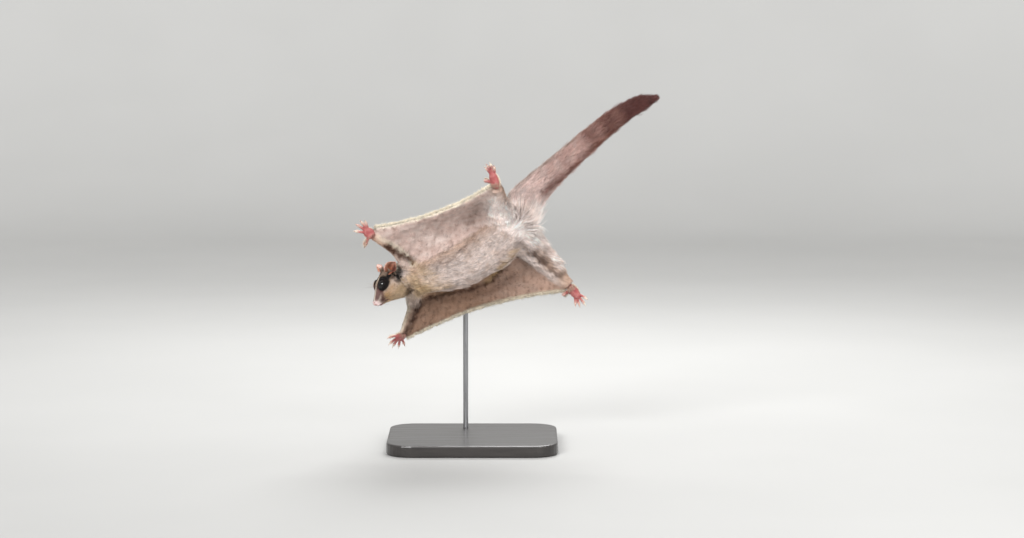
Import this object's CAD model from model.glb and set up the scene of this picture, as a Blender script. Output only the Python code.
"""Looks of a life-size sugar glider model in gliding flight, on a display stand.

Lengths in the pose functions are millimetres in the pose plane: u to the right, v up the
plane and w out of it. Finished pieces are in metres, in the frame of the solids.
"""

import math

import bpy
import numpy as np
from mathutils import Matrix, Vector
from mathutils.bvhtree import BVHTree


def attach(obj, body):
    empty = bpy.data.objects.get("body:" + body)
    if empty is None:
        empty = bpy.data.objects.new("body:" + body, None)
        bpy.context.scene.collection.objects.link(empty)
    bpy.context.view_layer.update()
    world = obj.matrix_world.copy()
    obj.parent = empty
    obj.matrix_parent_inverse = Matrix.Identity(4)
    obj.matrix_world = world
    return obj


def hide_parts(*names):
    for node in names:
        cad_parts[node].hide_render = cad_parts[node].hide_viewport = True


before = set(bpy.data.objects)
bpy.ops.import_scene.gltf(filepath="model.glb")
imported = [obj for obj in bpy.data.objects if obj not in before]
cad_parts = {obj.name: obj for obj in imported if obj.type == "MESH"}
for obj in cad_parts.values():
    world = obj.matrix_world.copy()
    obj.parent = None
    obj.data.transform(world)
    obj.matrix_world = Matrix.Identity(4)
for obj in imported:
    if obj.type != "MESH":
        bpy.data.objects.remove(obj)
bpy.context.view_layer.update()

bl_info = {
    "name": "Sugar glider model",
    "version": (1, 0, 0),
    "blender": (4, 5, 0),
    "location": "View3D > Sidebar > Glider",
    "description": "Builds the skin, coat and fittings of a gliding possum model",
    "category": "Add Mesh",
}

MM = 0.001
SEED = 4711

# The pose plane, and the trunk's knots, headings and roll in it
PLANE_TILT = 6.0
PLANE_ORIGIN = np.array([-12.0, -34.0, 204.0])
FORE_HEADING = 15.0
HIND_HEADING = 45.0
BANK = 42.0
SHOULDERS = np.array([-44.0, -28.0, 0.0])
MIDRIFF = np.array([4.0, -12.0, 0.0])
HIPS = np.array([44.0, 19.0, 0.0])
TAIL_ROOT = np.array([58.0, 41.0, 0.0])
TURN_SHARES = (0.0, 0.2, 0.95, 1.0)
TRUNK_MIDDLE = 0.55
TRUNK_HALF_WIDTH = 17.0

# The head; places in it are forward from the nape, left and up
HEAD_NOSE = np.array([-0.56, -0.79, 0.25])
HEAD_LEFT = np.array([0.33, 0.065, 0.94])
HEAD_BACK = np.array([-63.9, -20.6, 0.0])
HEAD_LENGTH = 40.5
EYE_PLACE = (21.3, 7.2, 3.6)
EYE_RADIUS = 5.4
EYE_WETNESS = 0.2
NOSE_PLACE = (39.5, 0.0, -2.7)
MOUTH_FRONT = (39.6, 7.4, -7.3)
MOUTH_WAVE = 0.4
MOUTH_FALL = 1.3
EAR_ROOT = (7.2, 9.8, 7.4)
EAR_WAY = (-0.55, 0.74, 0.14)
EAR_FACE = (0.95, 0.16, 0.25)
EAR_LENGTH = 16.5
EAR_HALF_WIDTH = 6.5
EAR_THICKNESS = 1.0
EAR_CUP = 4.2
EAR_BEND = 2.0
EAR_SINK = 0.34
EAR_STEM = 0.3
EAR_FOLD = 0.42
EAR_TINTS = {"plain": (1.0, 1.0, 1.0), "root": (0.72, 0.50, 0.36), "rear": (0.16, 0.07, 0.08),
             "rim": (1.55, 2.3, 2.8), "back": (0.86, 0.74, 0.72), "back_rim": (1.4, 1.7, 1.8)}

# Limbs: roots, reaches and joints' drops in the trunk's own frame, forward, left and up
ARM_ROOT = (4.0, 13.0, 1.0)
LEG_ROOT = (-6.0, 11.0, 0.0)
ARM_REACH = {"left": (25.0, 53.0, 0.0), "right": (25.0, 56.0, 0.0)}
LEG_REACH = {"left": (-18.0, 65.0, -34.0), "right": (-2.0, 71.5, -35.0)}
ELBOW_DROP = (-4.0, 0.0, 3.0)
KNEE_DROP = (0.0, 0.0, 5.0)
LIMB_SPLIT = 0.48

# The tail's length, and its heading by the share of it
TAIL_LENGTH = 178.0
TAIL_STEPS = 240
TAIL_HEADINGS = ((0.0, 51.0), (0.25, 43.0), (0.55, 41.0), (0.80, 34.0), (1.0, 15.0))

# A membrane's free edge: its stretch of the trunk, its ends at palm and heel, bow and lift
EDGE_START = 0.93
EDGE_RUN = 0.76
EDGE_PALM = (1.5, 1.55)
EDGE_HEEL = (0.5, 1.5)
EDGE_BOW = {"left": 13.0, "right": 7.0}
EDGE_LIFT = 4.0

# Paws: directions of fingers and palm, half sizes, and the angle of each digit from the thumb on
HAND_WAY = {"left": (-0.70, 0.69, 0.15), "right": (-0.45, -0.59, -0.67)}
HAND_FACE = {"left": (0.0, -0.30, 0.95), "right": (0.09, -0.82, 0.56)}
FOOT_WAY = {"left": (-0.27, 0.94, 0.20), "right": (0.58, -0.76, -0.28)}
FOOT_FACE = {"left": (-0.55, -0.30, 0.78), "right": (-0.15, -0.55, 0.82)}
PALM_HALF = (6.2, 5.4, 2.8)
SOLE_HALF = (9.5, 5.2, 3.6)
HAND_FAN = {"left": (116.0, 35.0, 8.0, -12.0, -28.0), "right": (64.0, 28.0, 6.0, -17.0, -42.0)}
FOOT_FAN = {"left": (66.0, 22.0, 8.0, -8.0, -24.0), "right": (92.0, 30.0, 14.0, -8.0, -32.0)}
# Digits from the thumb on: share of the palm at the root, length, radius
HAND_DIGITS = ((0.25, 10.5, 1.35), (0.75, 10.5, 1.5), (0.8, 11.5, 1.45), (0.8, 11.0, 1.4),
               (0.75, 9.5, 1.35))
FOOT_DIGITS = ((0.1, 10.0, 1.9), (0.8, 10.0, 1.35), (0.85, 11.0, 1.35), (0.85, 12.0, 1.5),
               (0.75, 10.5, 1.4))
DIGIT_CURL = 0.16
CURL_POWER = 2.4
DIGIT_SPREAD = (0.62, 0.78)
THUMB_ROOT = (0.25, 0.35)
PALM_AHEAD = 0.86
PALM_PADS = ((0.55, 0.55), (0.72, 0.05), (0.5, -0.5), (-0.35, 0.45), (-0.45, -0.4))
PAD_WIDTH = 1.35
PAD_HEIGHT = 0.00045
TIP_WIDTH = 3.0
WRIST_BACK = 0.9
CREASE_WIDTH = 1.6
PAW_SWELL = 0.00005
PAW_VOXEL = 0.00042
PAW_TINTS = {"plain": (1.0, 1.0, 1.0), "hollow": (0.84, 0.60, 0.62), "crease": (0.30, 0.16, 0.20),
             "tip": (1.45, 3.4, 3.0), "back": (1.45, 3.2, 2.8)}
CLAW_LENGTH = 2.6
CLAW_SUNK = 1.0
CLAW_HOOK = 1.5
CLAW_RADIUS = 0.62
CLAW_POINT = 0.03

# Whiskers: rows and columns on the muzzle, root and way of the first, and what a column and a
# row add to both; then root and way of the first over the eye, and what a column adds
WHISKER_GRID = (3, 5)
WHISKER_ROOT = np.array([(36.2, 4.2, -2.2), (-1.7, 0.5, -0.15), (0.0, 0.0, -1.3)])
WHISKER_WAY = np.array([(0.15, 1.0, -0.25), (-0.2, 0.0, 0.12), (0.0, 0.0, -0.28)])
WHISKER_BACK = np.array([-0.9, 0.0, -0.25])
WHISKER_RADIUS = 0.11
BROW_ROOT = np.array([(25.5, 5.6, 7.6), (0.8, 0.0, 0.0)])
BROW_WAY = np.array([(0.0, 0.7, 0.8), (0.25, 0.0, 0.0)])
BROW_RADIUS = 0.09

# Corners nearer than this are one, in metres
WELD = 2e-7
# Skin: how far the solids swell before it is laid, in metres, its smoothing, and the plug
# that carries it into the back of the head
SWELL = 0.0004
RELAX_BACK = -0.53
MELT_ROUNDS = 26
PAW_CORE = 0.9
PLUG_PLACE = (7.0, 0.0, -4.0)
PLUG_HALF = (13.0, 14.4, 15.6)

# Pieces of the coat: the skin they grow on, its groups, the number of tufts and the slot
COAT_PIECES = (
    ("coat_face", "head", ("head",), 14500, "fur_back"),
    ("coat_head", "head", ("head",), 14000, "fur_back"),
    ("coat_belly_front", "body", ("trunk",), 14000, "fur_belly"),
    ("coat_belly_rear", "body", ("trunk",), 12000, "fur_belly"),
    ("coat_back", "body", ("trunk",), 13500, "fur_back"),
    ("coat_tail", "body", ("tail",), 17500, "fur_tail"),
    ("coat_arms", "body", ("arm_left", "arm_right"), 9500, "fur_membrane"),
    ("coat_legs", "body", ("leg_left", "leg_right"), 13500, "fur_membrane"),
    ("coat_membrane_left", "body", ("membrane_left",), 14000, "fur_membrane"),
    ("coat_membrane_right", "body", ("membrane_right",), 14500, "fur_membrane"),
)
FRINGE_TUFTS = 4300
FRINGE_INSET = (1.1, 4.4)
FRINGE_OVER = (0.4, 0.8)
FRINGE_LENGTH = (2.4, 4.0)
FRINGE_WIDTH = 0.36
FRINGE_LIFT = 6.0
PAW_TUFTS = 5200
PAW_HAIR = (4.2, 0.26, 26.0)
FACE_FROM = 19.0
BELLY_SPLIT = 0.55
CALM_PIECES = ("coat_tail", "coat_face")
CALM_SWAY = 0.14
WIDE_SWAY = 0.26
HEAD_STREAK = 0.4
UNWRAP_PATCH = 0.003
MAP_RIM = 0.02
MEMBRANE_SPAN = 110.0

# Stage: lamps with place and size in metres (the key's is an angle), their target, the colour
# of the even light, the floor's reach and the quarter circle that it bends up in
LAMPS = {"key": ((-0.6, -1.3, 1.0), 0.4), "fill": ((0.8, -1.1, 0.6), 0.9),
         "rim": ((0.15, 0.75, 1.15), 0.7)}
LAMP_TARGET = (0.0, -0.03, 0.21)
SKY_COLOUR = (1.0, 0.99, 0.985, 1.0)
FLOOR_REACH = 6.0
BEND_FROM = 2.2
BEND_RADIUS = 1.2

# The camera's target in the pose plane, its distance there, its film and the picture's width
VIEW_MIDDLE = (52.0, -19.0)
VIEW_DISTANCE = 3000.0
FILM_WIDTH = 36.0
PHOTO_WIDTH = 1024.0

SIDES = ("left", "right")
SIGN = {"left": 1.0, "right": -1.0}
FLESH = (["head", "neck", "torso"]
         + [f"{part}_{side}" for part in ("upper_arm", "forearm", "thigh", "shank", "membrane")
            for side in SIDES]
         + [f"tail_{number}" for number in range(1, 5)])
PAW_PAIRS = [(kind, side) for kind in ("hand", "foot") for side in SIDES]
PAWS = [f"{kind}_{side}" for kind, side in PAW_PAIRS]
GROUPS = ("head", "trunk", "tail", "arm_left", "arm_right", "leg_left", "leg_right",
          "membrane_left", "membrane_right")


def unit(vector):
    """Vectors divided by their lengths."""
    vector = np.asarray(vector, dtype=float)
    return vector / np.maximum(np.linalg.norm(vector, axis=-1, keepdims=True), 1e-12)


def square_to(vector, axis):
    """A vector less its share along an axis, at length one."""
    axis = unit(axis)
    vector = np.asarray(vector, dtype=float)
    return unit(vector - axis * np.sum(vector * axis, axis=-1, keepdims=True))


def plane_axes():
    """The pose plane's u, v and w as rows: an upright plane that leans back by its tilt."""
    tilt = math.radians(PLANE_TILT)
    return np.array([[1.0, 0.0, 0.0],
                     [0.0, math.sin(tilt), math.cos(tilt)],
                     [0.0, -math.cos(tilt), math.sin(tilt)]])


AXES = plane_axes()


def to_world(points):
    """Pose plane millimetres to metres in the frame: origin plus the three axes."""
    return (PLANE_ORIGIN + np.asarray(points, dtype=float) @ AXES) * MM


def to_pose(points):
    """Metres in the frame to pose plane millimetres, the inverse of to_world."""
    return (np.asarray(points, dtype=float) / MM - PLANE_ORIGIN) @ AXES.T


def trunk_frame(heading):
    """Forward, left and up of the trunk: a heading in the pose plane, rolled by the bank."""
    angle = math.radians(heading)
    bank = math.radians(BANK)
    forward = np.array([-math.cos(angle), -math.sin(angle), 0.0])
    rising = np.array([-math.sin(angle), math.cos(angle), 0.0])
    toward = np.array([0.0, 0.0, 1.0])
    return (forward, math.cos(bank) * rising + math.sin(bank) * toward,
            math.sin(bank) * rising - math.cos(bank) * toward)


def head_frame():
    """Forward, left and up of the head as rows."""
    forward = unit(HEAD_NOSE)
    left = square_to(HEAD_LEFT, forward)
    return np.array([forward, left, np.cross(forward, left)])


def in_head(local):
    """Head coordinates (forward, left, up) as pose plane millimetres."""
    return HEAD_BACK + np.asarray(local, dtype=float) @ head_frame()


def smooth_table(rows, at):
    """Cubic through the rows of a table with slopes by central differences."""
    rows = np.asarray(rows, dtype=float)
    places, values = rows[:, 0], rows[:, 1:]
    slopes = np.gradient(values, places, axis=0)
    at = np.clip(np.asarray(at, dtype=float), places[0], places[-1])
    index = np.clip(np.searchsorted(places, at) - 1, 0, len(places) - 2)
    step = (places[index + 1] - places[index])[:, None]
    share = ((at - places[index]) / step[:, 0])[:, None]
    square, cube = share ** 2, share ** 3
    return ((2 * cube - 3 * square + 1) * values[index]
            + (cube - 2 * square + share) * step * slopes[index]
            + (3 * square - 2 * cube) * values[index + 1]
            + (cube - square) * step * slopes[index + 1])


def trunk_path(share):
    """Spine from tail root (0) to neck (1): centres, lefts and ups."""
    share = np.asarray(share, dtype=float)
    knots = np.array([TAIL_ROOT, HIPS, MIDRIFF, SHOULDERS])
    reach = np.linalg.norm(np.diff(knots, axis=0), axis=1)
    places = np.concatenate([[0.0], np.cumsum(reach)]) / reach.sum()
    centres = smooth_table(np.column_stack([places, knots]), share)
    headings = np.interp(share, TURN_SHARES,
                         (TAIL_HEADINGS[0][1], HIND_HEADING, FORE_HEADING, FORE_HEADING))
    frames = np.array([trunk_frame(heading) for heading in headings])
    return centres, frames[:, 1], frames[:, 2]


def tail_path(share):
    """Tail centreline: the running sum of short steps along its heading."""
    steps = np.linspace(0.0, 1.0, TAIL_STEPS + 1)
    heading = np.radians(smooth_table(TAIL_HEADINGS, steps)[:, 0])
    ways = np.column_stack([np.cos(heading), np.sin(heading), 0.0 * heading])
    run = np.concatenate([[np.zeros(3)], np.cumsum(0.5 * (ways[1:] + ways[:-1]), axis=0)])
    line = TAIL_ROOT + run * TAIL_LENGTH / TAIL_STEPS
    centres = np.column_stack([np.interp(share, steps, line[:, axis]) for axis in range(3)])
    frames = np.array([trunk_frame(math.degrees(angle))
                       for angle in np.interp(share, steps, heading)])
    return centres, frames[:, 1], frames[:, 2]


def limb_joints(kind, side):
    """Root, middle joint and end of a limb, and the trunk's up beside it."""
    mirror = np.array([1.0, SIGN[side], 1.0])
    heading, start, root, reach, drop = {
        "arm": (FORE_HEADING, SHOULDERS, ARM_ROOT, ARM_REACH[side], ELBOW_DROP),
        "leg": (HIND_HEADING, HIPS, LEG_ROOT, LEG_REACH[side], KNEE_DROP),
    }[kind]
    axes = np.array(trunk_frame(heading))
    root = start + (np.array(root) * mirror) @ axes
    span = (np.array(reach) * mirror) @ axes
    middle = root + LIMB_SPLIT * span + (np.array(drop) * mirror) @ axes
    return root, middle, root + span, axes[2]


def limb_path(kind, side, share):
    """Limb line through its joints, with lefts and ups square to it."""
    root, middle, end, up = limb_joints(kind, side)
    centres = smooth_table([[0.0, *root], [LIMB_SPLIT, *middle], [1.0, *end]], share)
    ways = unit(np.gradient(centres, axis=0))
    lefts = square_to(np.cross(up, ways), ways)
    return centres, lefts, np.cross(ways, lefts)


def head_path(share):
    """Straight line from the nape to the nose with the head's own frame."""
    share = np.asarray(share, dtype=float)
    axes = head_frame()
    centres = in_head(np.column_stack([share * HEAD_LENGTH, 0 * share, 0 * share]))
    return centres, np.tile(axes[1], (len(share), 1)), np.tile(axes[2], (len(share), 1))


PAW_FORMS = {"hand": ("arm", HAND_WAY, HAND_FACE, PALM_HALF, HAND_DIGITS, HAND_FAN),
             "foot": ("leg", FOOT_WAY, FOOT_FACE, SOLE_HALF, FOOT_DIGITS, FOOT_FAN)}


def paw_frame(kind, side):
    """Middle of a palm or sole, its frame (fingers, thumb, palm) and half sizes."""
    limb, ways, faces, halves, _, _ = PAW_FORMS[kind]
    way = unit(ways[side])
    face = square_to(faces[side], way)
    thumb = np.cross(way, face) * -SIGN[side]
    end = limb_joints(limb, side)[2]
    return end + way * (halves[0] * PALM_AHEAD), np.array([way, thumb, face]), halves


def digit_lines(kind, side):
    """Bone line of each digit: straight out, curling to the palm as a power of the share."""
    centre, (way, thumb, face), halves = paw_frame(kind, side)
    digits, fans = PAW_FORMS[kind][4:]
    ahead, aside = DIGIT_SPREAD
    share = np.linspace(0.0, 1.0, 9)[:, None]
    lines = []
    for number, (rooted, length, radius) in enumerate(digits):
        angle = math.radians(fans[side][number])
        going = math.cos(angle) * way + math.sin(angle) * thumb
        root = (centre + way * halves[0] * rooted * math.cos(angle) * ahead
                + thumb * halves[1] * math.sin(angle) * aside * rooted)
        if number == 0:
            root = centre - way * halves[0] * THUMB_ROOT[0] + thumb * halves[1] * THUMB_ROOT[1]
        curl = face * DIGIT_CURL * length * share ** CURL_POWER
        lines.append((root + going * length * share + curl, radius, face))
    return lines


def membrane_edge(side, share):
    """Free edge of a membrane: a line from palm to heel, bowed inwards as a parabola."""
    rows = np.asarray(share, dtype=float)
    _, lefts, ups = trunk_path(EDGE_START - EDGE_RUN * rows)
    palm, palm_axes, palm_half = paw_frame("hand", side)
    sole, sole_axes, sole_half = paw_frame("foot", side)
    outer = palm + palm_axes[0] * EDGE_PALM[0] - palm_axes[1] * palm_half[1] * EDGE_PALM[1]
    heel = (sole - sole_axes[0] * sole_half[0] * EDGE_HEEL[0]
            + sole_axes[1] * sole_half[1] * EDGE_HEEL[1])
    centre, left, _ = trunk_middle()
    middle = centre + SIGN[side] * left * TRUNK_HALF_WIDTH
    inward = unit(middle - 0.5 * (outer + heel))
    line = outer + np.outer(rows, heel - outer)
    line = line + np.outer(EDGE_BOW[side] * 4.0 * rows * (1.0 - rows), inward)
    return line + (EDGE_LIFT * np.sin(math.pi * rows))[:, None] * ups, lefts, ups


def trunk_middle():
    """Centre, left and up of the trunk between its limbs."""
    return [rows[0] for rows in trunk_path([TRUNK_MIDDLE])]


# Shader maths
class Sum:
    """A socket or a number that adds its Math nodes when it is used in an expression."""

    def __init__(self, tree, socket):
        self.tree = tree
        self.socket = socket

    def node(self, kind, settings=None, inputs=None, output=0):
        """A node of a type with its settings, then its sockets' values or links."""
        made = self.tree.nodes.new(kind)
        for name, value in (settings or {}).items():
            setattr(made, name, value)
        for name, value in (inputs or {}).items():
            if isinstance(value, Sum):
                self.tree.links.new(value.socket, made.inputs[name])
            else:
                made.inputs[name].default_value = value
        return Sum(self.tree, made.outputs[output])

    def maths(self, operation, *values):
        """A Math node on sockets and numbers."""
        return self.node("ShaderNodeMath", {"operation": operation}, dict(enumerate(values)))

    def __add__(self, other):
        return self.maths("ADD", self, other)

    def __radd__(self, other):
        return self.maths("ADD", other, self)

    def __sub__(self, other):
        return self.maths("SUBTRACT", self, other)

    def __rsub__(self, other):
        return self.maths("SUBTRACT", other, self)

    def __mul__(self, other):
        return self.maths("MULTIPLY", self, other)

    def __rmul__(self, other):
        return self.maths("MULTIPLY", other, self)

    def ramp(self, low, high):
        """Share of the way from low to high, smooth and kept within 0 and 1."""
        return self.node("ShaderNodeMapRange", {"interpolation_type": "SMOOTHSTEP"},
                         {"Value": self, "From Min": low, "From Max": high})


class Finish:
    """A material with a Principled shader and the object's own coordinates."""

    def __init__(self, name, **constants):
        self.material = bpy.data.materials.new(name)
        self.material.use_nodes = True
        self.tree = self.material.node_tree
        self.shader = self.tree.nodes["Principled BSDF"]
        for label, value in constants.items():
            self.shader.inputs[label.replace("_", " ")].default_value = value
        self.start = Sum(self.tree, None)
        self.place = self.start.node("ShaderNodeTexCoord", output="Object")

    def noise(self, scale, detail=2.0, stretch=None, roughness=0.55, distortion=0.0):
        """Noise of place, pressed or stretched along the axes."""
        place = self.place
        if stretch is not None:
            place = self.start.node("ShaderNodeMapping", None,
                                    {"Vector": self.place, "Scale": stretch})
        return self.start.node("ShaderNodeTexNoise", None,
                               {"Vector": place, "Scale": scale, "Detail": detail,
                                "Roughness": roughness, "Distortion": distortion})

    def cell_edges(self, scale):
        """Distance to the edges of cells of random places."""
        return self.start.node("ShaderNodeTexVoronoi", {"feature": "DISTANCE_TO_EDGE"},
                               {"Vector": self.place, "Scale": scale})

    def marking(self):
        """The colours painted on the vertices."""
        return self.start.node("ShaderNodeAttribute", {"attribute_name": "marking"},
                               output="Color")

    def mix(self, share, first, second, blend="MIX"):
        """Colour mix; the sockets of a Mix node set to colour are 6, 7 and its output 2."""
        first = first if isinstance(first, Sum) or len(first) == 4 else (*first, 1.0)
        second = second if isinstance(second, Sum) or len(second) == 4 else (*second, 1.0)
        return self.start.node("ShaderNodeMix", {"data_type": "RGBA", "blend_type": blend},
                               {0: share, 6: first, 7: second}, 2)

    def feed(self, label, value):
        """Links a socket of the shader."""
        self.tree.links.new(value.socket, self.shader.inputs[label])
        return self

    def bump(self, height, distance, strength):
        """Raises the surface by a height from 0 to 1, a distance in metres and a strength."""
        normal = self.start.node("ShaderNodeBump", None,
                                 {"Height": height, "Distance": distance,
                                  "Strength": strength})
        return self.feed("Normal", normal)


def colour_of(value):
    """A colour setting's three numbers."""
    return tuple(value)[:3]


def times(colour, factor):
    """A colour made darker or lighter by a factor."""
    return tuple(factor * one for one in colour)


def coat_finish(name, sheen=0.03, light=1.14):
    """Hair: the painted markings, broken up by fine noise, with a soft sheen."""
    finish = Finish(name, Roughness=0.78, Sheen_Weight=sheen, Sheen_Roughness=0.45,
                    Specular_IOR_Level=0.15)
    marking = finish.marking()
    fine = finish.noise(scale=900.0, detail=2.0).ramp(0.3, 0.7)
    broad = finish.noise(scale=120.0, detail=3.0).ramp(0.3, 0.7)
    white = (1.0, 1.0, 1.0)
    shade = finish.mix(fine * 0.5 + broad * 0.5, times(white, 0.78), times(white, light))
    finish.feed("Base Color", finish.mix(1.0, marking, shade, "MULTIPLY"))
    finish.feed("Roughness", 0.70 + 0.18 * fine)
    return finish


def skin_finish():
    """Skin under the coat: the same markings, with the lie of short hair as bump."""
    finish = coat_finish("skin_under_coat", sheen=0.05, light=1.02)
    hairs = finish.noise(scale=1500.0, detail=3.0, stretch=(1.0, 1.0, 0.35), roughness=0.6)
    tufts = finish.noise(scale=420.0, detail=3.0, stretch=(1.0, 1.0, 0.6), roughness=0.6)
    return finish.bump(0.6 * tufts + 0.4 * hairs, distance=0.0009, strength=0.8)


def bare_finish(name, flesh, pale, scale, roughness, weight, creased=True):
    """Bare skin: flesh and pale tones by noise, fine creases by cells, a little depth."""
    finish = Finish(name, Roughness=roughness, Subsurface_Weight=weight,
                    Subsurface_Scale=0.002, Subsurface_Radius=(1.0, 0.35, 0.2))
    marking = finish.marking()
    blotch = finish.noise(scale=260.0, detail=3.0).ramp(0.32, 0.68)
    tone = finish.mix(blotch, flesh, pale)
    finish.feed("Base Color", finish.mix(1.0, tone, marking, "MULTIPLY"))
    grain = finish.noise(scale=scale * 2.0, detail=2.0)
    finish.feed("Roughness", roughness - 0.08 + 0.16 * grain)
    if not creased:
        folds = finish.noise(scale=scale * 0.4, detail=2.0)
        return finish.bump(0.6 * grain + 0.4 * folds, distance=0.00010, strength=0.5)
    creases = finish.cell_edges(scale).ramp(0.0, 0.18)
    return finish.bump(creases + 0.4 * grain, distance=0.00022, strength=0.7)


# Meshes
def new_piece(name, vertices, faces, finish=None, marking=None):
    """An object at the origin from metres and triangles, with its painted markings."""
    mesh = bpy.data.meshes.new(name)
    faces = np.asarray(faces, dtype=np.int32)
    corners = faces.shape[1]
    mesh.vertices.add(len(vertices))
    mesh.vertices.foreach_set("co", np.asarray(vertices, dtype=np.float32).ravel())
    mesh.loops.add(faces.size)
    mesh.loops.foreach_set("vertex_index", faces.ravel())
    mesh.polygons.add(len(faces))
    mesh.polygons.foreach_set("loop_start", np.arange(0, faces.size, corners, dtype=np.int32))
    mesh.update(calc_edges=True)
    mesh.validate()
    mesh.polygons.foreach_set("use_smooth", np.ones(len(faces), dtype=bool))
    if marking is not None:
        paint(mesh, marking)
    piece = bpy.data.objects.new(name, mesh)
    bpy.context.scene.collection.objects.link(piece)
    if finish is not None:
        mesh.materials.append(finish.material)
    return piece


def paint(mesh, colours):
    """Linear colours on the vertices, in an attribute named marking."""
    layer = mesh.color_attributes.new("marking", "FLOAT_COLOR", "POINT")
    rows = np.ones((len(mesh.vertices), 4), dtype=np.float32)
    rows[:, :3] = colours
    layer.data.foreach_set("color", rows.ravel())


def vertices_of(mesh):
    """Places of a mesh's vertices."""
    places = np.zeros(len(mesh.vertices) * 3, dtype=np.float32)
    mesh.vertices.foreach_get("co", places)
    return places.reshape(-1, 3).astype(float)


def triangles_of(mesh):
    """Corners of a mesh's triangles."""
    mesh.calc_loop_triangles()
    corners = np.zeros(len(mesh.loop_triangles) * 3, dtype=np.int32)
    mesh.loop_triangles.foreach_get("vertices", corners)
    return corners.reshape(-1, 3)


def node_mesh(name):
    """Places and triangles of one CAD node."""
    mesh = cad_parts[name].data
    return vertices_of(mesh), triangles_of(mesh)


def joined(pieces):
    """Vertices and triangles of several meshes as one."""
    places, faces, count = [], [], 0
    for one, corners in pieces:
        places.append(one)
        faces.append(corners + count)
        count += len(one)
    return np.concatenate(places), np.concatenate(faces)


def merged_nodes(names, swell):
    """Vertices and triangles of CAD nodes, each welded and pushed out along its normals."""
    pieces = []
    for name in names:
        loose, corners = node_mesh(name)
        keys = np.round(loose / WELD).astype(np.int64)
        first, index = np.unique(keys, axis=0, return_index=True, return_inverse=True)[1:]
        welded = loose[first]
        corners = index.reshape(-1)[corners]
        good = ((corners[:, 0] != corners[:, 1]) & (corners[:, 1] != corners[:, 2])
                & (corners[:, 0] != corners[:, 2]))
        corners = corners[good]
        pieces.append((welded + vertex_normals(welded, corners) * swell, corners))
    return joined(pieces)


def vertex_normals(places, faces):
    """Sum of the area-weighted normals of the triangles round each vertex."""
    a, b, c = (places[faces[:, corner]] for corner in range(3))
    normals = np.cross(b - a, c - a)
    total = np.zeros_like(places)
    for axis in range(3):
        for corner in range(3):
            total[:, axis] += np.bincount(faces[:, corner], normals[:, axis], len(places))
    return unit(total)


def remeshed(places, faces, voxel):
    """One closed surface round all the solids, by a voxel remesh."""
    piece = new_piece("remesh", places, faces)
    step = piece.modifiers.new("one_skin", "REMESH")
    step.mode = "VOXEL"
    step.voxel_size = voxel
    graph = bpy.context.evaluated_depsgraph_get()
    made = bpy.data.meshes.new_from_object(piece.evaluated_get(graph))
    bpy.data.objects.remove(piece, do_unlink=True)
    result = vertices_of(made), triangles_of(made)
    bpy.data.meshes.remove(made)
    return result


class Surface:
    """A triangle surface with its neighbours, for smoothing places and fields."""

    def __init__(self, places, faces):
        self.places = places
        self.faces = faces
        pairs = np.concatenate([faces[:, [0, 1]], faces[:, [1, 2]], faces[:, [2, 0]]])
        self.pairs = np.unique(np.sort(pairs, axis=1), axis=0)
        ends = np.concatenate([self.pairs[:, 0], self.pairs[:, 1]])
        self.degree = np.maximum(np.bincount(ends, minlength=len(places)), 1)

    def mean(self, field):
        """Mean of a field over each vertex's neighbours."""
        field = field.reshape(len(self.places), -1)
        one, other = self.pairs[:, 0], self.pairs[:, 1]
        total = np.stack([np.bincount(one, field[other, column], len(field))
                          + np.bincount(other, field[one, column], len(field))
                          for column in range(field.shape[1])], axis=1)
        return total / self.degree[:, None]

    def smooth(self, field, rounds, amount=0.5):
        """A field moved towards its neighbours' mean by an amount, round by round."""
        shape = field.shape
        field = field.reshape(len(self.places), -1)
        for _ in range(rounds):
            field = field + amount * (self.mean(field) - field)
        return field.reshape(shape)

    def relax(self, rounds):
        """Smooths the places, each round followed by one that swells them again."""
        for _ in range(rounds):
            self.places = self.smooth(self.places, 1)
            self.places = self.smooth(self.places, 1, RELAX_BACK)

    def melt(self, labels):
        """Rounds the creases where groups meet: neighbours' means, weighted near a seam."""
        one, other = self.pairs[:, 0], self.pairs[:, 1]
        crossing = labels[one] != labels[other]
        seam = np.zeros(len(labels))
        seam[one[crossing]] = 1.0
        seam[other[crossing]] = 1.0
        weight = np.clip(3.0 * self.smooth(seam, 8), 0.0, 1.0)[:, None]
        for _ in range(MELT_ROUNDS):
            self.places = self.places + 0.5 * weight * (self.mean(self.places) - self.places)

    def normals(self):
        """Normals of the vertices as they lie now."""
        return vertex_normals(self.places, self.faces)


def node_index(names):
    """Nearest-surface search over CAD nodes that also tells the node."""
    pieces = [node_mesh(name) for name in names]
    owner = np.repeat(np.arange(len(names)), [len(faces) for _, faces in pieces])
    places, faces = joined(pieces)
    return BVHTree.FromPolygons(places.tolist(), faces.tolist()), owner


LIMB_OF_PART = {"upper_arm": "arm", "forearm": "arm", "thigh": "leg", "shank": "leg",
                "membrane": "membrane"}


def group_of_node(name):
    """Body group of a solid: the head, trunk, tail, a limb or a membrane."""
    part, _, side = name.rpartition("_")
    if part in LIMB_OF_PART:
        return f"{LIMB_OF_PART[part]}_{side}"
    return {"neck": "trunk", "torso": "trunk"}.get(name, part or name)


def group_labels(places):
    """Number of the body group whose solid lies nearest to each place."""
    tree, owner = node_index(FLESH)
    groups = np.array([GROUPS.index(group_of_node(name)) for name in FLESH])
    nearest = np.array([tree.find_nearest(Vector(place))[2] for place in places])
    return groups[owner[nearest]]


def on_membranes(labels):
    """Which places belong to the thin membranes."""
    return np.isin(labels, [GROUPS.index(f"membrane_{side}") for side in SIDES])


PATH_STEPS = np.linspace(0.0, 1.0, 90)
BLOCK = 4000


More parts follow.
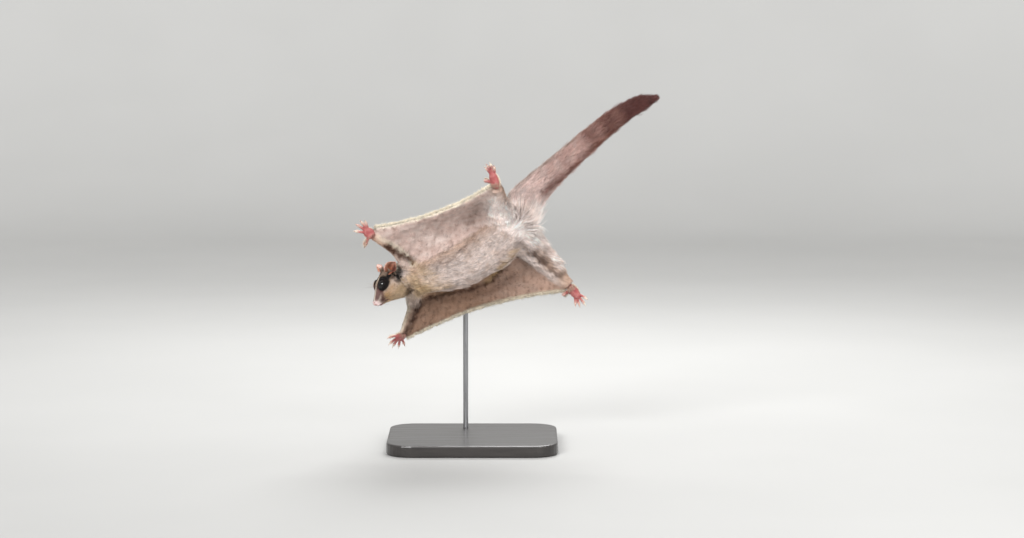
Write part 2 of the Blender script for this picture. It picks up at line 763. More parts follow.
def group_path(group):
    """Centres, lefts and ups of a group's own line; a membrane has the trunk's."""
    if group == "head":
        return head_path(PATH_STEPS)
    if group == "tail":
        return tail_path(PATH_STEPS)
    if group.startswith(("arm", "leg")):
        kind, side = group.split("_")
        return limb_path(kind, side, PATH_STEPS)
    return trunk_path(PATH_STEPS)


def along_path(group, pose):
    """Share along a group's path, angle about it, and the path's frame there."""
    centres, lefts, ups = group_path(group)
    nearest = np.concatenate([
        np.argmin(((block[:, None, :] - centres[None]) ** 2).sum(axis=2), axis=1)
        for block in np.array_split(pose, max(1, len(pose) // BLOCK))])
    out = pose - centres[nearest]
    angle = np.arctan2(np.sum(out * ups[nearest], axis=1), np.sum(out * lefts[nearest], axis=1))
    ways = unit(np.gradient(centres, axis=0))[nearest]
    return PATH_STEPS[nearest], angle, ways, lefts[nearest], ups[nearest]


def step_up(value, low, high):
    """Smooth step from 0 below low to 1 above high."""
    share = np.clip((value - low) / (high - low), 0.0, 1.0)
    return share * share * (3.0 - 2.0 * share)


def bell(value, middle, width):
    """1 at the middle, falling to both sides as the exponential of the square."""
    return np.exp(-((value - middle) / width) ** 2)


RIPPLE_WAVES = 9


def ripple(pose, scale, seed):
    """Smooth noise of place: a sum of sine waves in seeded directions, about -1 to 1."""
    generator = np.random.default_rng(seed)
    total = np.zeros(len(pose))
    for _ in range(RIPPLE_WAVES):
        way = unit(generator.normal(size=3)) * 2.0 * math.pi / scale
        way = way * generator.uniform(0.6, 1.8)
        total += np.sin(pose @ way + generator.uniform(0.0, 2.0 * math.pi))
    return total / math.sqrt(RIPPLE_WAVES)


def blend_rows(base, colour, share):
    """Rows of colours moved to one colour by a share."""
    return base + share[:, None] * (np.asarray(colour) - base)


# Strokes drawn by hand on the front of the pose plane: colour, line of (u, v), half width, share
STROKES = (
    ("dark_fold", ((-34, -49), (-13, -44), (12, -39), (33, -31), (42, -19), (51, -7)), 2.2, 1.1),
    ("grey_fold", ((20, -31), (36, -22), (46, -8)), 4.5, 0.35),
    ("throat", ((26, -31), (36, -22), (44, -10), (52, 1)), 1.9, 0.55),
    ("grey_fold", ((-24, -17), (-12, -11), (-4, -8)), 2.4, 0.40),
    ("dark_fold", ((0, -4), (7, 5), (15, 14)), 1.3, 0.55),
    ("grey_fold", ((11, 28), (14, 35), (19, 43)), 4.0, 0.45),
    ("grey_fold", ((28, 40), (32, 45), (35, 51)), 3.0, 0.70),
    ("dark_fold", ((4, 30), (16, 36), (26, 42)), 5.0, 0.22),
    ("dark_fold", ((-30, -53), (-8, -49), (16, -45), (38, -38), (52, -26)), 4.0, 0.50),
    ("rump", ((36, 43), (48, 32), (58, 20), (70, 9)), 9.5, 1.7),
    ("rump", ((72, 22), (81, 9), (91, -5), (100, -18)), 3.4, 1.1),
    ("dark_fold", ((-71, 3), (-59, -5), (-47, -11)), 3.3, 1.5),
    ("fringe", ((-83, 2), (-75, -3), (-68, -10), (-64, -17)), 2.2, 0.9),
    ("grey_fold", ((-49, -10), (-38, -17), (-28, -23)), 2.6, 0.35),
    ("grey_fold", ((60, 7), (70, -1), (83, -11)), 4.0, 0.85),
    ("dark_fold", ((72, -3), (86, -14), (100, -27)), 2.2, 0.8),
    ("grey_fold", ((58, -8), (68, -16), (80, -26)), 5.0, 0.40),
    ("dark_fold", ((-40, -52), (-46, -66), (-52, -77), (-58, -88)), 3.2, 1.1),
    ("grey_fold", ((44, -34), (60, -36), (76, -38)), 6.5, 0.30),
    ("tail_middle", ((84, 58), (96, 69), (119, 88), (135, 103), (158, 120)), 3.4, 1.1),
    ("belly", ((-42, 16), (-30, 13), (-18, 9)), 6.0, 0.45),
    ("dark_fold", ((-46, -60), (-36, -64), (-24, -62)), 5.0, 0.30),
    ("throat", ((-56, -36), (-46, -40), (-30, -38), (-14, -36)), 5.5, 0.46),
    ("throat", ((-44, -14), (-34, -22), (-24, -27)), 4.0, 0.35),
    ("belly", ((-57, -26), (-51, -36), (-46, -44)), 4.5, 0.55),
    ("rump", ((51, 46), (56, 38)), 3.2, 0.8),
)
# Rolls (above 0) and grooves (below 0) of the skin, in millimetres: line, half width, rise
FOLDS = (
    (((-34, -45), (-13, -40), (12, -35), (32, -27), (40, -15), (49, -3)), 3.2, 0.9),
    (((-34, -50), (-13, -45), (12, -40), (34, -32), (44, -19), (53, -6)), 1.8, -1.3),
    (((-72, 3), (-59, -5), (-49, -10)), 2.2, -0.8),
    (((-24, -17), (-12, -11), (-4, -8), (7, 4)), 2.2, -0.7),
    (((28, 40), (32, 45), (35, 51)), 2.6, -0.8),
    (((74, -6), (86, -16), (100, -27)), 2.4, -0.8),
    (((-53, -32), (-49, -38), (-48, -45)), 4.2, 2.6),
)
# Degrees that hair of twice its length lifts more
SHAG_LIFT = 16.0
# Where the hair is longer and stands off: line, half width, extra share of length, its pull
SHAG = (
    (((30, -28), (40, -16), (51, 0)), 4.0, 0.6, (0.3, -0.5, 0.0)),
    (((60, 28), (70, 20), (80, 10), (90, -4), (98, -16)), 6.0, 1.5, (0.6, 0.0, 0.0)),
    (((-78, -48), (-70, -48), (-60, -46), (-50, -48), (-42, -50)), 5.5, 1.2, (0.1, -1.1, 0.0)),
    (((-30, -47), (-10, -42), (12, -37)), 3.2, 0.5, (0.1, -0.5, 0.0)),
    (((52, 42), (60, 34), (68, 24)), 8.0, 0.35, (0.0, 0.0, 0.0)),
    (((33, 54), (38, 62), (44, 70)), 4.0, 0.5, (0.3, 0.0, 0.0)),
)


def stroke_share(pose, line, width):
    """Bell of the distance to a line of the pose plane, thinner towards the line's ends."""
    line = np.asarray(line, dtype=float)
    flat = pose[:, :2] + 0.9 * np.column_stack([ripple(pose, 9.0, SEED + 12),
                                                ripple(pose, 8.0, SEED + 13)])
    best = np.zeros(len(pose))
    for start, end in zip(line[:-1], line[1:]):
        span = end - start
        along = np.clip((flat - start) @ span / (span @ span), 0.0, 1.0)
        gap = np.linalg.norm(flat - start - along[:, None] * span, axis=1)
        best = np.maximum(best, np.exp(-(gap / width) ** 2))
    return best


def draw_strokes(rows, pose, normals, palette):
    """Lays the strokes over colours where the surface faces the front, broken up by noise."""
    front = step_up(normals[:, 2], -0.05, 0.35)
    broken = 0.62 + 0.38 * step_up(ripple(pose, 6.0, SEED + 14), -0.6, 0.5)
    for key, line, width, share in STROKES:
        own = share * front * broken * stroke_share(pose, line, width)
        rows = blend_rows(rows, palette[key], np.clip(own, 0.0, 1.0))
    return rows


# Markings
class Layers:
    """Colours of places, laid one over another by shares, each from the palette."""

    def __init__(self, pose, palette, key):
        self.palette = palette
        self.rows = np.tile(palette[key], (len(pose), 1))

    def lay(self, key, share):
        """Lays a colour of the palette over the places by their shares."""
        self.rows = blend_rows(self.rows, self.palette[key], share)


def head_local(pose):
    """Head coordinates with the left side's folded onto the right's."""
    local = (pose - HEAD_BACK) @ head_frame().T
    return np.column_stack([local[:, 0], np.abs(local[:, 1]), local[:, 2]])


def mouth_gap(local):
    """Height above the mouth line, which runs round the muzzle as the solids' cut does."""
    _, half_width, height = MOUTH_FRONT
    along = np.clip(local[:, 1] / half_width, 0.0, 1.0)
    return local[:, 2] - (height + MOUTH_WAVE * np.cos(along * math.pi) - MOUTH_FALL * along)


def distance(local, place):
    """Distances of places from one place."""
    return np.linalg.norm(local - np.array(place), axis=1)


def slanted(local, middle, way):
    """Distances along and across a slanted way of the head's side view, from a middle."""
    ahead, above = local[:, 0] - middle[0], local[:, 2] - middle[1]
    return ahead * way[0] + above * way[1], ahead * -way[1] + above * way[0]


# Patches of the head's side view: middle forward and up, way of the long axis, half sizes
EAR_PATCH = ((4.2, -1.2), (0.72, -0.69), (9.0, 4.0))
EYE_MARK = ((20.7, 4.8), (-0.93, 0.37), (8.0, 5.2))
EYE_WEDGE = ((11.7, 5.0), (1.0, 0.0), (4.2, 2.5))
WHISKER_BED = ((33.0, -5.6), (1.0, 0.0), (3.0, 2.5))
# Soft spots there: colour, share, middle and spread forward and up
FACE_SPOTS = (
    ("cheek", 0.85, (27.5, -5.5), (5.5, 5.0)),
    ("cheek", 0.60, (18.5, -4.0), (6.0, 5.0)),
    ("flank", 0.80, (6.2, -0.5), (3.0, 3.5)),
)
# The smudge from the eye's front corner down to the lip: start, span and half width
SMUDGE = ((25.0, 4.0), (7.0, -8.5), 1.7)
# Stretches over which a mark comes in, in millimetres of the head's own axes
JAW_BELOW = (-1.5, 3.0)
THROAT_BELOW = (5.0, 11.0)
BRIDGE_AHEAD = (23.0, 27.0)
BRIDGE_ABOVE = (-0.5, 1.5)
BLAZE_AHEAD = (14.0, 20.0)
MUZZLE_ASIDE = (2.6, 4.2)
FACE_ASIDE = (2.0, 3.4)
EAR_ASIDE = (6.0, 8.0)
LID_ROUND = (5.7, 6.4)
CHEEK_LINE_BELOW = (0.0, 2.0)
CHEEK_LINE_END = (9.0, 12.0)
TIP_AHEAD = (37.4, 39.4)
CROWN_ABOVE = (4.0, 7.0)
CROWN_END = (12.0, 17.0)
MOUTH_AHEAD = (27.0, 29.5)
NAPE_AHEAD = (-7.0, 3.0)
TIP_PINK = (0.80, 0.62, 0.60)
# How much pink skin shows at a limb's end, the width of the pale band, points along an edge
BARE_WRIST = {"arm": 0.45, "leg": 0.12}
FRINGE_BAND = (1.5, 3.7)
EDGE_POINTS = 60


def patch(local, form):
    """Elliptic radius in a patch of the side view: 1 at its rim."""
    middle, way, halves = form
    run, across = slanted(local, middle, way)
    return np.hypot(run / halves[0], across / halves[1])


def ear_patch(local):
    """Black patch behind and below the ear: a long ellipse, slanted in the head's side view."""
    return (1.0 - step_up(patch(local, EAR_PATCH), 0.75, 1.1)) * step_up(local[:, 1], *EAR_ASIDE)


def head_marks(pose, palette):
    """Face: grey crown, ochre cheek, black round the eye and behind the ear, pink tip."""
    local = head_local(pose)
    x, y, z = local.T
    coat = Layers(pose, palette, "crown")
    below = step_up(-z + 0.10 * x, *JAW_BELOW)
    coat.lay("belly", 0.85 * below)
    coat.lay("throat", 0.6 * below * step_up(-z, *THROAT_BELOW))
    for key, share, middle, widths in FACE_SPOTS:
        coat.lay(key, share * bell(x, middle[0], widths[0]) * bell(z, middle[1], widths[1]))
    bridge = step_up(x, *BRIDGE_AHEAD) * step_up(z + 0.25 * (x - 28.0), *BRIDGE_ABOVE)
    coat.lay("bridge", 0.9 * bridge)
    coat.lay("fringe", 0.75 * bell(y, 0.0, 1.3) * step_up(x, *BLAZE_AHEAD))
    start, span, half_width = SMUDGE
    length = math.hypot(*span)
    run, _ = slanted(local, start, (span[0] / length, span[1] / length))
    run = np.clip(run / length, 0.0, 1.0)
    aside = np.hypot(x - start[0] - span[0] * run, z - start[1] - span[1] * run)
    side = step_up(y, *MUZZLE_ASIDE)
    coat.lay("muzzle", 0.8 * side * bell(aside, 0.0, half_width))
    facing = step_up(y, *FACE_ASIDE)
    coat.lay("muzzle", 0.95 * bell(patch(local, WHISKER_BED), 0.0, 1.0) * facing)
    mark = 1.0 - step_up(patch(local, EYE_MARK), 0.86, 1.10)
    lid = 1.0 - step_up(distance(local, EYE_PLACE), *LID_ROUND)
    coat.lay("black", facing * np.maximum(mark, lid))
    wedge = bell(patch(local, EYE_WEDGE), 0.0, 1.0)
    coat.lay("black", np.clip(1.3 * side * wedge, 0.0, 1.0))
    ahead, above = x - EYE_PLACE[0], z - EYE_PLACE[2]
    line = (bell(ahead, -10.2, 1.0) * step_up(-above, *CHEEK_LINE_BELOW)
            * (1.0 - step_up(-above, *CHEEK_LINE_END)))
    coat.lay("dark_fold", 0.85 * side * line)
    tip = step_up(x - 0.3 * z, *TIP_AHEAD)
    coat.rows = blend_rows(coat.rows, TIP_PINK, 0.85 * tip)
    coat.lay("black", ear_patch(local))
    crown = bell(y, 0.0, 2.3) * step_up(z, *CROWN_ABOVE) * (1.0 - step_up(x, *CROWN_END))
    coat.lay("stripe", 0.85 * crown)
    coat.rows = coat.rows * (1.0 + 0.07 * ripple(pose, 3.5, SEED + 19))[:, None]
    coat.lay("lip", bell(mouth_gap(local), 0.0, 0.6 + 0.5 * tip) * step_up(x, *MOUTH_AHEAD))
    return coat.rows


def trunk_marks(pose, palette):
    """Trunk colours from the angle about the spine: belly, flank, back and its stripe."""
    share, angle, _, _, _ = along_path("trunk", pose)
    height = np.sin(angle)
    wave = 0.10 * ripple(pose, 26.0, SEED + 1)
    coat = Layers(pose, palette, "belly")
    coat.lay("throat", 0.5 * step_up(share, 0.84, 1.0))
    coat.lay("rump", 1.0 - step_up(share, 0.04, 0.22))
    coat.lay("belly_shade", 0.45 * step_up(ripple(pose, 17.0, SEED + 2), 0.1, 0.9))
    coat.lay("flank", 0.75 * bell(height, -0.12, 0.34))
    coat.lay("back", step_up(height + wave, -0.02, 0.34))
    stripe = bell(np.cos(angle), 0.0, 0.20) * step_up(height, 0.3, 0.6)
    coat.lay("stripe", 0.92 * stripe * step_up(share, 0.10, 0.25))
    local = head_local(pose)
    coat.lay("black", ear_patch(local))
    near = step_up(local[:, 0], *NAPE_AHEAD)[:, None]
    return coat.rows * (1.0 - near) + head_marks(pose, palette) * near


def tail_marks(pose, palette):
    """Tail colours: taupe, then mid brown, then dark brown at the end, darker above."""
    share, angle, _, _, _ = along_path("tail", pose)
    coat = Layers(pose, palette, "tail")
    coat.lay("rump", 0.6 * (1.0 - step_up(share, 0.0, 0.05)))
    coat.lay("belly", 0.28 * step_up(ripple(pose, 16.0, SEED + 3), 0.0, 0.9))
    coat.lay("rump", 0.45 * (1.0 - step_up(share, 0.05, 0.40)))
    coat.lay("back", 0.75 * step_up(np.sin(angle), -0.05, 0.6))
    lower = 0.55 * step_up(-np.cos(angle), 0.35, 0.95) * step_up(share, 0.18, 0.42)
    coat.lay("tail_middle", lower)
    reach = share + 0.04 * ripple(pose, 20.0, SEED + 4)
    coat.lay("tail_middle", 0.85 * step_up(reach, 0.42, 0.68))
    coat.lay("tail_tip", step_up(reach, 0.64, 0.86))
    return coat.rows


def limb_marks(group, pose, palette):
    """Limb colours: pale below and at the arm's front, grey above, white behind the thigh."""
    kind, side = group.split("_")
    share, angle, _, _, _ = along_path(group, pose)
    coat = Layers(pose, palette, "flank")
    if kind == "arm":
        coat.lay("belly", 0.6 * (1.0 - step_up(share, 0.2, 0.6)))
        coat.lay("fringe", 0.7 * step_up(np.cos(angle), 0.55, 0.9))
    else:
        coat.lay("belly", 0.55 * (1.0 - step_up(share, 0.3, 0.7)))
        rear = step_up(-np.cos(angle) * SIGN[side], 0.1, 0.7)
        coat.lay("rump", 0.75 * rear * (1.0 - step_up(share, 0.75, 1.0)))
        coat.lay("belly_shade", 0.5 * step_up(ripple(pose, 12.0, SEED + 15), 0.0, 0.8))
    coat.lay("back", step_up(np.sin(angle), 0.05, 0.38))
    coat.lay("wrist", BARE_WRIST[kind] * step_up(share, 0.92, 1.0))
    return coat.rows


def membrane_marks(side, pose, normals, palette):
    """Membrane colours: taupe below, dark grey above, a pale band along the free edge."""
    ups = along_path("trunk", pose)[4]
    above = step_up(np.sum(normals * ups, axis=1), -0.2, 0.2)
    reach = edge_reach(side, pose)
    low = Layers(pose, palette, "membrane")
    low.lay("belly", 0.45 * step_up(ripple(pose, 11.0, SEED + 5), -0.1, 0.8))
    low.lay("grey_fold", 0.30 * step_up(ripple(pose, 8.0, SEED + 6), 0.1, 0.9))
    if side == "right":
        low.lay("membrane_low", 0.60 + 0.22 * step_up(-pose[:, 0], -60.0, -10.0))
    low.lay("dark_fold", 0.30 * bell(reach, 5.0, 1.6)
            * step_up(ripple(pose, 9.0, SEED + 16), 0.0, 0.6))
    top = Layers(pose, palette, "membrane_back")
    top.lay("stripe", 0.6 * bell(reach, 7.0, 4.0))
    rows = low.rows * (1.0 - above)[:, None] + top.rows * above[:, None]
    ragged = reach + 0.7 * ripple(pose, 3.2, SEED + 20)
    return blend_rows(rows, palette["fringe"], 1.0 - step_up(ragged, *FRINGE_BAND))


def edge_reach(side, pose):
    """Distance in from a membrane's free edge, 0 beyond it."""
    edge, lefts, _ = membrane_edge(side, np.linspace(0.0, 1.0, EDGE_POINTS))
    gaps = np.linalg.norm(pose[:, None, :] - edge[None], axis=2)
    nearest = np.argmin(gaps, axis=1)
    beyond = np.sum((pose - edge[nearest]) * lefts[nearest], axis=1) * SIGN[side] > 0.0
    return np.where(beyond, 0.0, gaps[np.arange(len(pose)), nearest])


def group_marks(group, pose, normals, palette):
    """Colours of places that all belong to one body group."""
    plain = {"head": head_marks, "trunk": trunk_marks, "tail": tail_marks}
    if group in plain:
        return plain[group](pose, palette)
    if group.startswith("membrane"):
        return membrane_marks(group.split("_")[1], pose, normals, palette)
    return limb_marks(group, pose, palette)


def markings(labels, pose, normals, palette):
    """Colour of every place by its body group, with the strokes over it."""
    rows = np.zeros((len(pose), 3))
    for number, group in enumerate(GROUPS):
        own = labels == number
        if own.any():
            rows[own] = group_marks(group, pose[own], normals[own], palette)
    return draw_strokes(rows, pose, normals, palette)


# Length, width (both in millimetres) and lift (in degrees) of the hair on each kind of group;
# the head's first two are factors on FACE_HAIR
HAIR = {
    "head": (1.0, 1.0, 17.0), "trunk": (7.2, 0.62, 15.0), "tail": (7.4, 0.46, 30.0),
    "arm": (4.2, 0.52, 14.0), "leg": (5.6, 0.60, 17.0), "membrane": (3.4, 0.48, 9.0),
}
# Length and width of the head's hair by the distance from the back of the head
FACE_HAIR = ((7.0, 5.4, 0.55), (14.0, 4.0, 0.46), (20.0, 2.8, 0.38), (27.0, 2.0, 0.30),
             (33.0, 1.3, 0.24), (39.0, 0.9, 0.19))


def group_fields(group, pose):
    """Flow of the hair on one body group, with its length, width and lift."""
    share, angle, ways, lefts, ups = along_path(group, pose)
    kind, _, side = group.partition("_")
    length, width, lift = (np.full(len(pose), one) for one in HAIR[kind])
    flow = ways
    if kind == "head":
        local = (pose - HEAD_BACK) @ head_frame().T
        face = smooth_table(FACE_HAIR, local[:, 0])
        flow = -ways + 0.35 * unit(local * (0, 1, 1)) @ head_frame()
        length, width = length * face[:, 0], width * face[:, 1]
    elif kind == "trunk":
        below = step_up(-np.sin(angle), 0.0, 0.5)
        shag = 1.0 - step_up(share, 0.08, 0.26)
        flow = -ways - 0.15 * ups
        length = length * (0.85 + 0.2 * below + 0.35 * shag)
        lift = lift + 8.0 * shag
    elif kind == "tail":
        length = length * (1.0 - 0.55 * step_up(share, 0.90, 1.0))
    elif kind == "membrane":
        flow = -ways * 0.9 + 0.75 * (lefts * SIGN[side])
    else:
        taper = 1.0 - 0.5 * step_up(share, 0.55, 1.0)
        length, width = length * taper, width * (0.3 + 0.7 * taper)
    return flow, np.column_stack([length, width, lift])


def coat_fields(labels, pose, normals):
    """Direction of the hair and its length, width and lift at every place of the skin."""
    flow = np.zeros((len(pose), 3))
    sizes = np.zeros((len(pose), 3))
    for number, group in enumerate(GROUPS):
        own = labels == number
        if own.any():
            flow[own], sizes[own] = group_fields(group, pose[own])
    front = step_up(normals[:, 2], -0.6, 0.0)
    for line, width, extra, pull in SHAG:
        share = front * stroke_share(pose, line, width)
        sizes[:, 0] *= 1.0 + extra * share
        sizes[:, 2] += SHAG_LIFT * extra * share
        flow += share[:, None] * np.array(pull)
    return flow, sizes


# A tuft's seven corners: three at the root, three half way and the tip. Its triangles, the
# shade of each corner, and each one's place in the tuft's patch of the unwrap map
TUFT_FACES = np.array([(0, 2, 1), (0, 1, 4), (0, 4, 3), (1, 2, 5), (1, 5, 4), (2, 0, 3),
                       (2, 3, 5), (3, 4, 6), (4, 5, 6), (5, 3, 6)])
TUFT_SHADE = np.array([0.80, 0.80, 0.86, 0.97, 0.97, 1.0, 1.08])
TUFT_UNWRAP = np.array([(0.0, 0.0), (1.0, 0.0), (0.5, 0.2), (0.1, 0.5), (0.9, 0.5),
                        (0.5, 0.6), (0.5, 1.0)])
ROOT_DEPTH = 0.35
TUFT_RIDGE = 0.38


def tuft_mesh(roots, normals, flow, sizes, colours, seed):
    """Thin curved spikes: three sides, a bend half way and one point, lying along the flow.

    Root ring, middle ring and tip are root + way * length * (0, 0.5, 1), the way turning
    from the lift angle towards the skin along each spike.
    """
    generator = np.random.default_rng(seed)
    count = len(roots)
    length = sizes[:, 0] * generator.uniform(0.72, 1.22, count)
    width = sizes[:, 1] * generator.uniform(0.75, 1.25, count)
    lift = np.radians(sizes[:, 2] * generator.uniform(0.5, 1.5, count))
    turn = generator.normal(0.0, 0.14, count)
    flow = square_to(flow, normals)
    side = np.cross(normals, flow)
    flow = unit(flow + turn[:, None] * side)
    side = np.cross(normals, flow)
    early = flow * np.cos(lift)[:, None] + normals * np.sin(lift)[:, None]
    late_lift = lift * 0.15
    late = flow * np.cos(late_lift)[:, None] + normals * np.sin(late_lift)[:, None]
    base = roots - normals * ROOT_DEPTH
    middle = base + early * (0.5 * length)[:, None]
    tip = middle + late * (0.5 * length)[:, None]
    rise = normals * TUFT_RIDGE
    half = 0.5 * width[:, None]
    ring = [base - side * half, base + side * half, base + rise * width[:, None],
            middle - side * half * 0.8, middle + side * half * 0.8,
            middle + rise * width[:, None] * 0.7, tip]
    places = np.stack(ring, axis=1)
    faces = (np.arange(count)[:, None, None] * len(ring) + TUFT_FACES[None]).reshape(-1, 3)
    tone = 1.0 + generator.normal(0.0, 0.07, (count, 1))
    warm = generator.normal(0.0, 0.02, (count, 1)) * np.array([[1.0, 0.0, -1.0]])
    colours = np.clip(colours * (tone + warm), 0.0, 1.0)
    marking = np.clip(colours[:, None, :] * TUFT_SHADE[None, :, None], 0.0, 1.0)
    return places, faces, marking


def unwrap_place(group, pose, normals):
    """Place of roots on an unwrap of the skin: share along the group, angle about it."""
    share, angle, _, _, ups = along_path(group, pose)
    turn = angle / (2.0 * math.pi) + 0.5
    if group.startswith("membrane"):
        centre, left, _ = trunk_middle()
        reach = np.clip(np.abs((pose - centre) @ left) / MEMBRANE_SPAN, 0.0, 1.0)
        above = np.sum(normals * ups, axis=1) > 0.0
        turn = np.where(above, 0.5 + 0.5 * reach, 0.5 - 0.5 * reach)
    return inside_map(np.column_stack([share, turn]))


def inside_map(shares):
    """Shares of 0 to 1 kept clear of the unwrap map's rim."""
    return shares * (1.0 - 2.0 * MAP_RIM) + MAP_RIM


def coat_piece(name, places, faces, marking, unwrap, finish):
    """One joined mesh of tufts with its unwrap map, each tuft a small patch at its root."""
    piece = new_piece(name, to_world(places.reshape(-1, 3)), faces, finish,
                      marking.reshape(-1, 3))
    corners = (unwrap[:, None, :] + UNWRAP_PATCH * TUFT_UNWRAP[None]).reshape(-1, 2)
    layer = piece.data.uv_layers.new(name="OFBake")
    loops = np.zeros(len(piece.data.loops), dtype=np.int32)
    piece.data.loops.foreach_get("vertex_index", loops)
    layer.data.foreach_set("uv", corners[loops].astype(np.float32).ravel())
    return piece


def scatter(surface, weight, count, generator):
    """Random places on triangles, as many as each one's area times weight asks."""
    a, b, c = (surface.places[surface.faces[:, corner]] for corner in range(3))
    area = np.linalg.norm(np.cross(b - a, c - a), axis=1)
    chance = area * weight[surface.faces].mean(axis=1)
    run = np.cumsum(chance)
    picks = (np.arange(count) + generator.uniform(0.0, 1.0, count)) / count * run[-1]
    chosen = np.searchsorted(run, picks)
    chosen = np.minimum(chosen, len(surface.faces) - 1)
    first = np.sqrt(generator.uniform(0.0, 1.0, count))
    second = generator.uniform(0.0, 1.0, count)
    shares = np.column_stack([1.0 - first, first * (1.0 - second), first * second])
    return surface.faces[chosen], shares


def spread(field, corners, shares):
    """Field values inside triangles, by the shares of their corners."""
    return np.einsum("nk,nkc->nc", shares, field[corners])


def tube(line, radii, segments):
    """Rings of a tube carried along a line: circles square to it, closed by end fans."""
    ways = unit(np.gradient(line, axis=0))
    side = square_to((0.31, 0.42, 0.85), ways[0])
    lefts = square_to(np.tile(side, (len(line), 1)), ways)
    ups = np.cross(ways, lefts)
    around = np.arange(segments)
    after = (around + 1) % segments
    angle = around * 2.0 * math.pi / segments
    points = (line[:, None] + radii[:, None, None]
              * (np.cos(angle)[None, :, None] * lefts[:, None]
                 + np.sin(angle)[None, :, None] * ups[:, None]))
    last = (len(line) - 1) * segments
    rows = np.arange(0, last, segments)[:, None]
    low, beside = rows + around, rows + after
    faces = [np.stack(corners, axis=2).reshape(-1, 3)
             for corners in ((low, beside, beside + segments),
                             (low, beside + segments, low + segments))]
    first_end = np.full(segments, last + segments)
    caps = [np.column_stack([first_end, after, around]),
            np.column_stack([first_end + 1, last + around, last + after])]
    places = np.concatenate([points.reshape(-1, 3), line[:1], line[-1:]])
    return places, np.concatenate(faces + caps)


# Settings
def colour_setting(name, text, value):
    """A colour that the user may change."""
    return bpy.props.FloatVectorProperty(name=name, description=text, subtype="COLOR",
                                         size=3, min=0.0, max=1.0, default=value)


def linear(red, green, blue):
    """Linear light from screen values of 0 to 255, by the usual power of 2.4 curve."""
    values = np.array([red, green, blue]) / 255.0
    return tuple(np.where(values <= 0.04045, values / 12.92, ((values + 0.055) / 1.055) ** 2.4))


# Name, use and screen colour of each marking
MARK_COLOURS = {
    "belly": ("Belly", "cream hair of the belly", (211, 196, 189)),
    "belly_shade": ("Belly shade", "taupe wisps in the belly hair", (190, 165, 149)),
    "throat": ("Throat", "yellowish hair of throat and chest", (192, 160, 110)),
    "cheek": ("Cheek", "ochre hair of the cheek", (190, 151, 99)),
    "rump": ("Rump", "white shaggy hair at the rump", (255, 240, 234)),
    "flank": ("Flank", "pinkish taupe of flank and limbs", (190, 162, 144)),
    "membrane": ("Membrane", "taupe underside of the membranes", (194, 170, 161)),
    "membrane_low": ("Low membrane", "tan hair of the shaded membrane", (142, 108, 83)),
    "membrane_back": ("Membrane back", "dark grey upper side of the membranes", (87, 76, 71)),
    "fringe": ("Fringe", "pale hair along the free edges", (238, 229, 209)),
    "back": ("Back", "grey brown hair of the back", (124, 110, 99)),
    "stripe": ("Stripe", "dark stripe of back and eye", (41, 31, 27)),
    "black": ("Ear patch", "black patch behind the ear", (16, 11, 10)),
    "crown": ("Crown", "grey brown hair of the crown", (147, 126, 110)),
    "bridge": ("Bridge", "dark mauve hair on the bridge of the nose", (117, 87, 83)),
    "muzzle": ("Muzzle", "maroon smudge below the whiskers", (92, 52, 50)),
    "lip": ("Lip", "dark red skin at the mouth line", (82, 30, 27)),
    "tail": ("Tail", "pinkish taupe of the tail", (196, 163, 154)),
    "tail_middle": ("Tail middle", "mid brown of the tail's outer half", (121, 79, 68)),
    "tail_tip": ("Tail tip", "dark brown end of the tail", (96, 59, 55)),
    "dark_fold": ("Dark fold", "dark brown hair in the folds", (72, 45, 33)),
    "grey_fold": ("Grey fold", "grey brown hair on the thighs", (108, 87, 76)),
    "wrist": ("Wrist", "pink skin showing through at wrist and heel", (199, 140, 124)),
}


class GLIDER_PG_marks(bpy.types.PropertyGroup):
    """Colours of skin and coat."""
    __annotations__ = {key: colour_setting(name, text, linear(*value))
                       for key, (name, text, value) in MARK_COLOURS.items()}


def length_setting(name, text, value, low=0.0):
    """A length in metres that the user may change."""
    return bpy.props.FloatProperty(name=name, description=text, default=value, min=low,
                                   unit="LENGTH")


def number_setting(name, text, value, low=0.0, unit="NONE"):
    """A factor, strength or power that the user may change."""
    return bpy.props.FloatProperty(name=name, description=text, default=value, min=low, unit=unit)


class GLIDER_PG_coat(bpy.types.PropertyGroup):
    """Depth and density of the coat."""
    depth: length_setting("Coat depth", "How far the skin lies inside the solids", 0.0009)
    membrane_depth: length_setting("Membrane coat depth",
                                   "How far a membrane's skin lies inside its solid", 0.0006)
    length: number_setting("Length", "Factor on all hair lengths", 1.0, 0.1)
    density: number_setting("Density", "Factor on the number of tufts", 1.0, 0.05)
    voxel: length_setting("Skin grain", "Edge length of the body skin's faces", 0.00125, 0.0004)
    head_voxel: length_setting("Head grain", "Edge length of the head skin's faces",
                               0.00047, 0.0002)
    wrinkle: length_setting("Wrinkle", "Height of the membranes' soft waves", 0.0006)
    seam_depth: length_setting("Seam depth", "How far the back of the head's fine skin dips in",
                               0.0013)


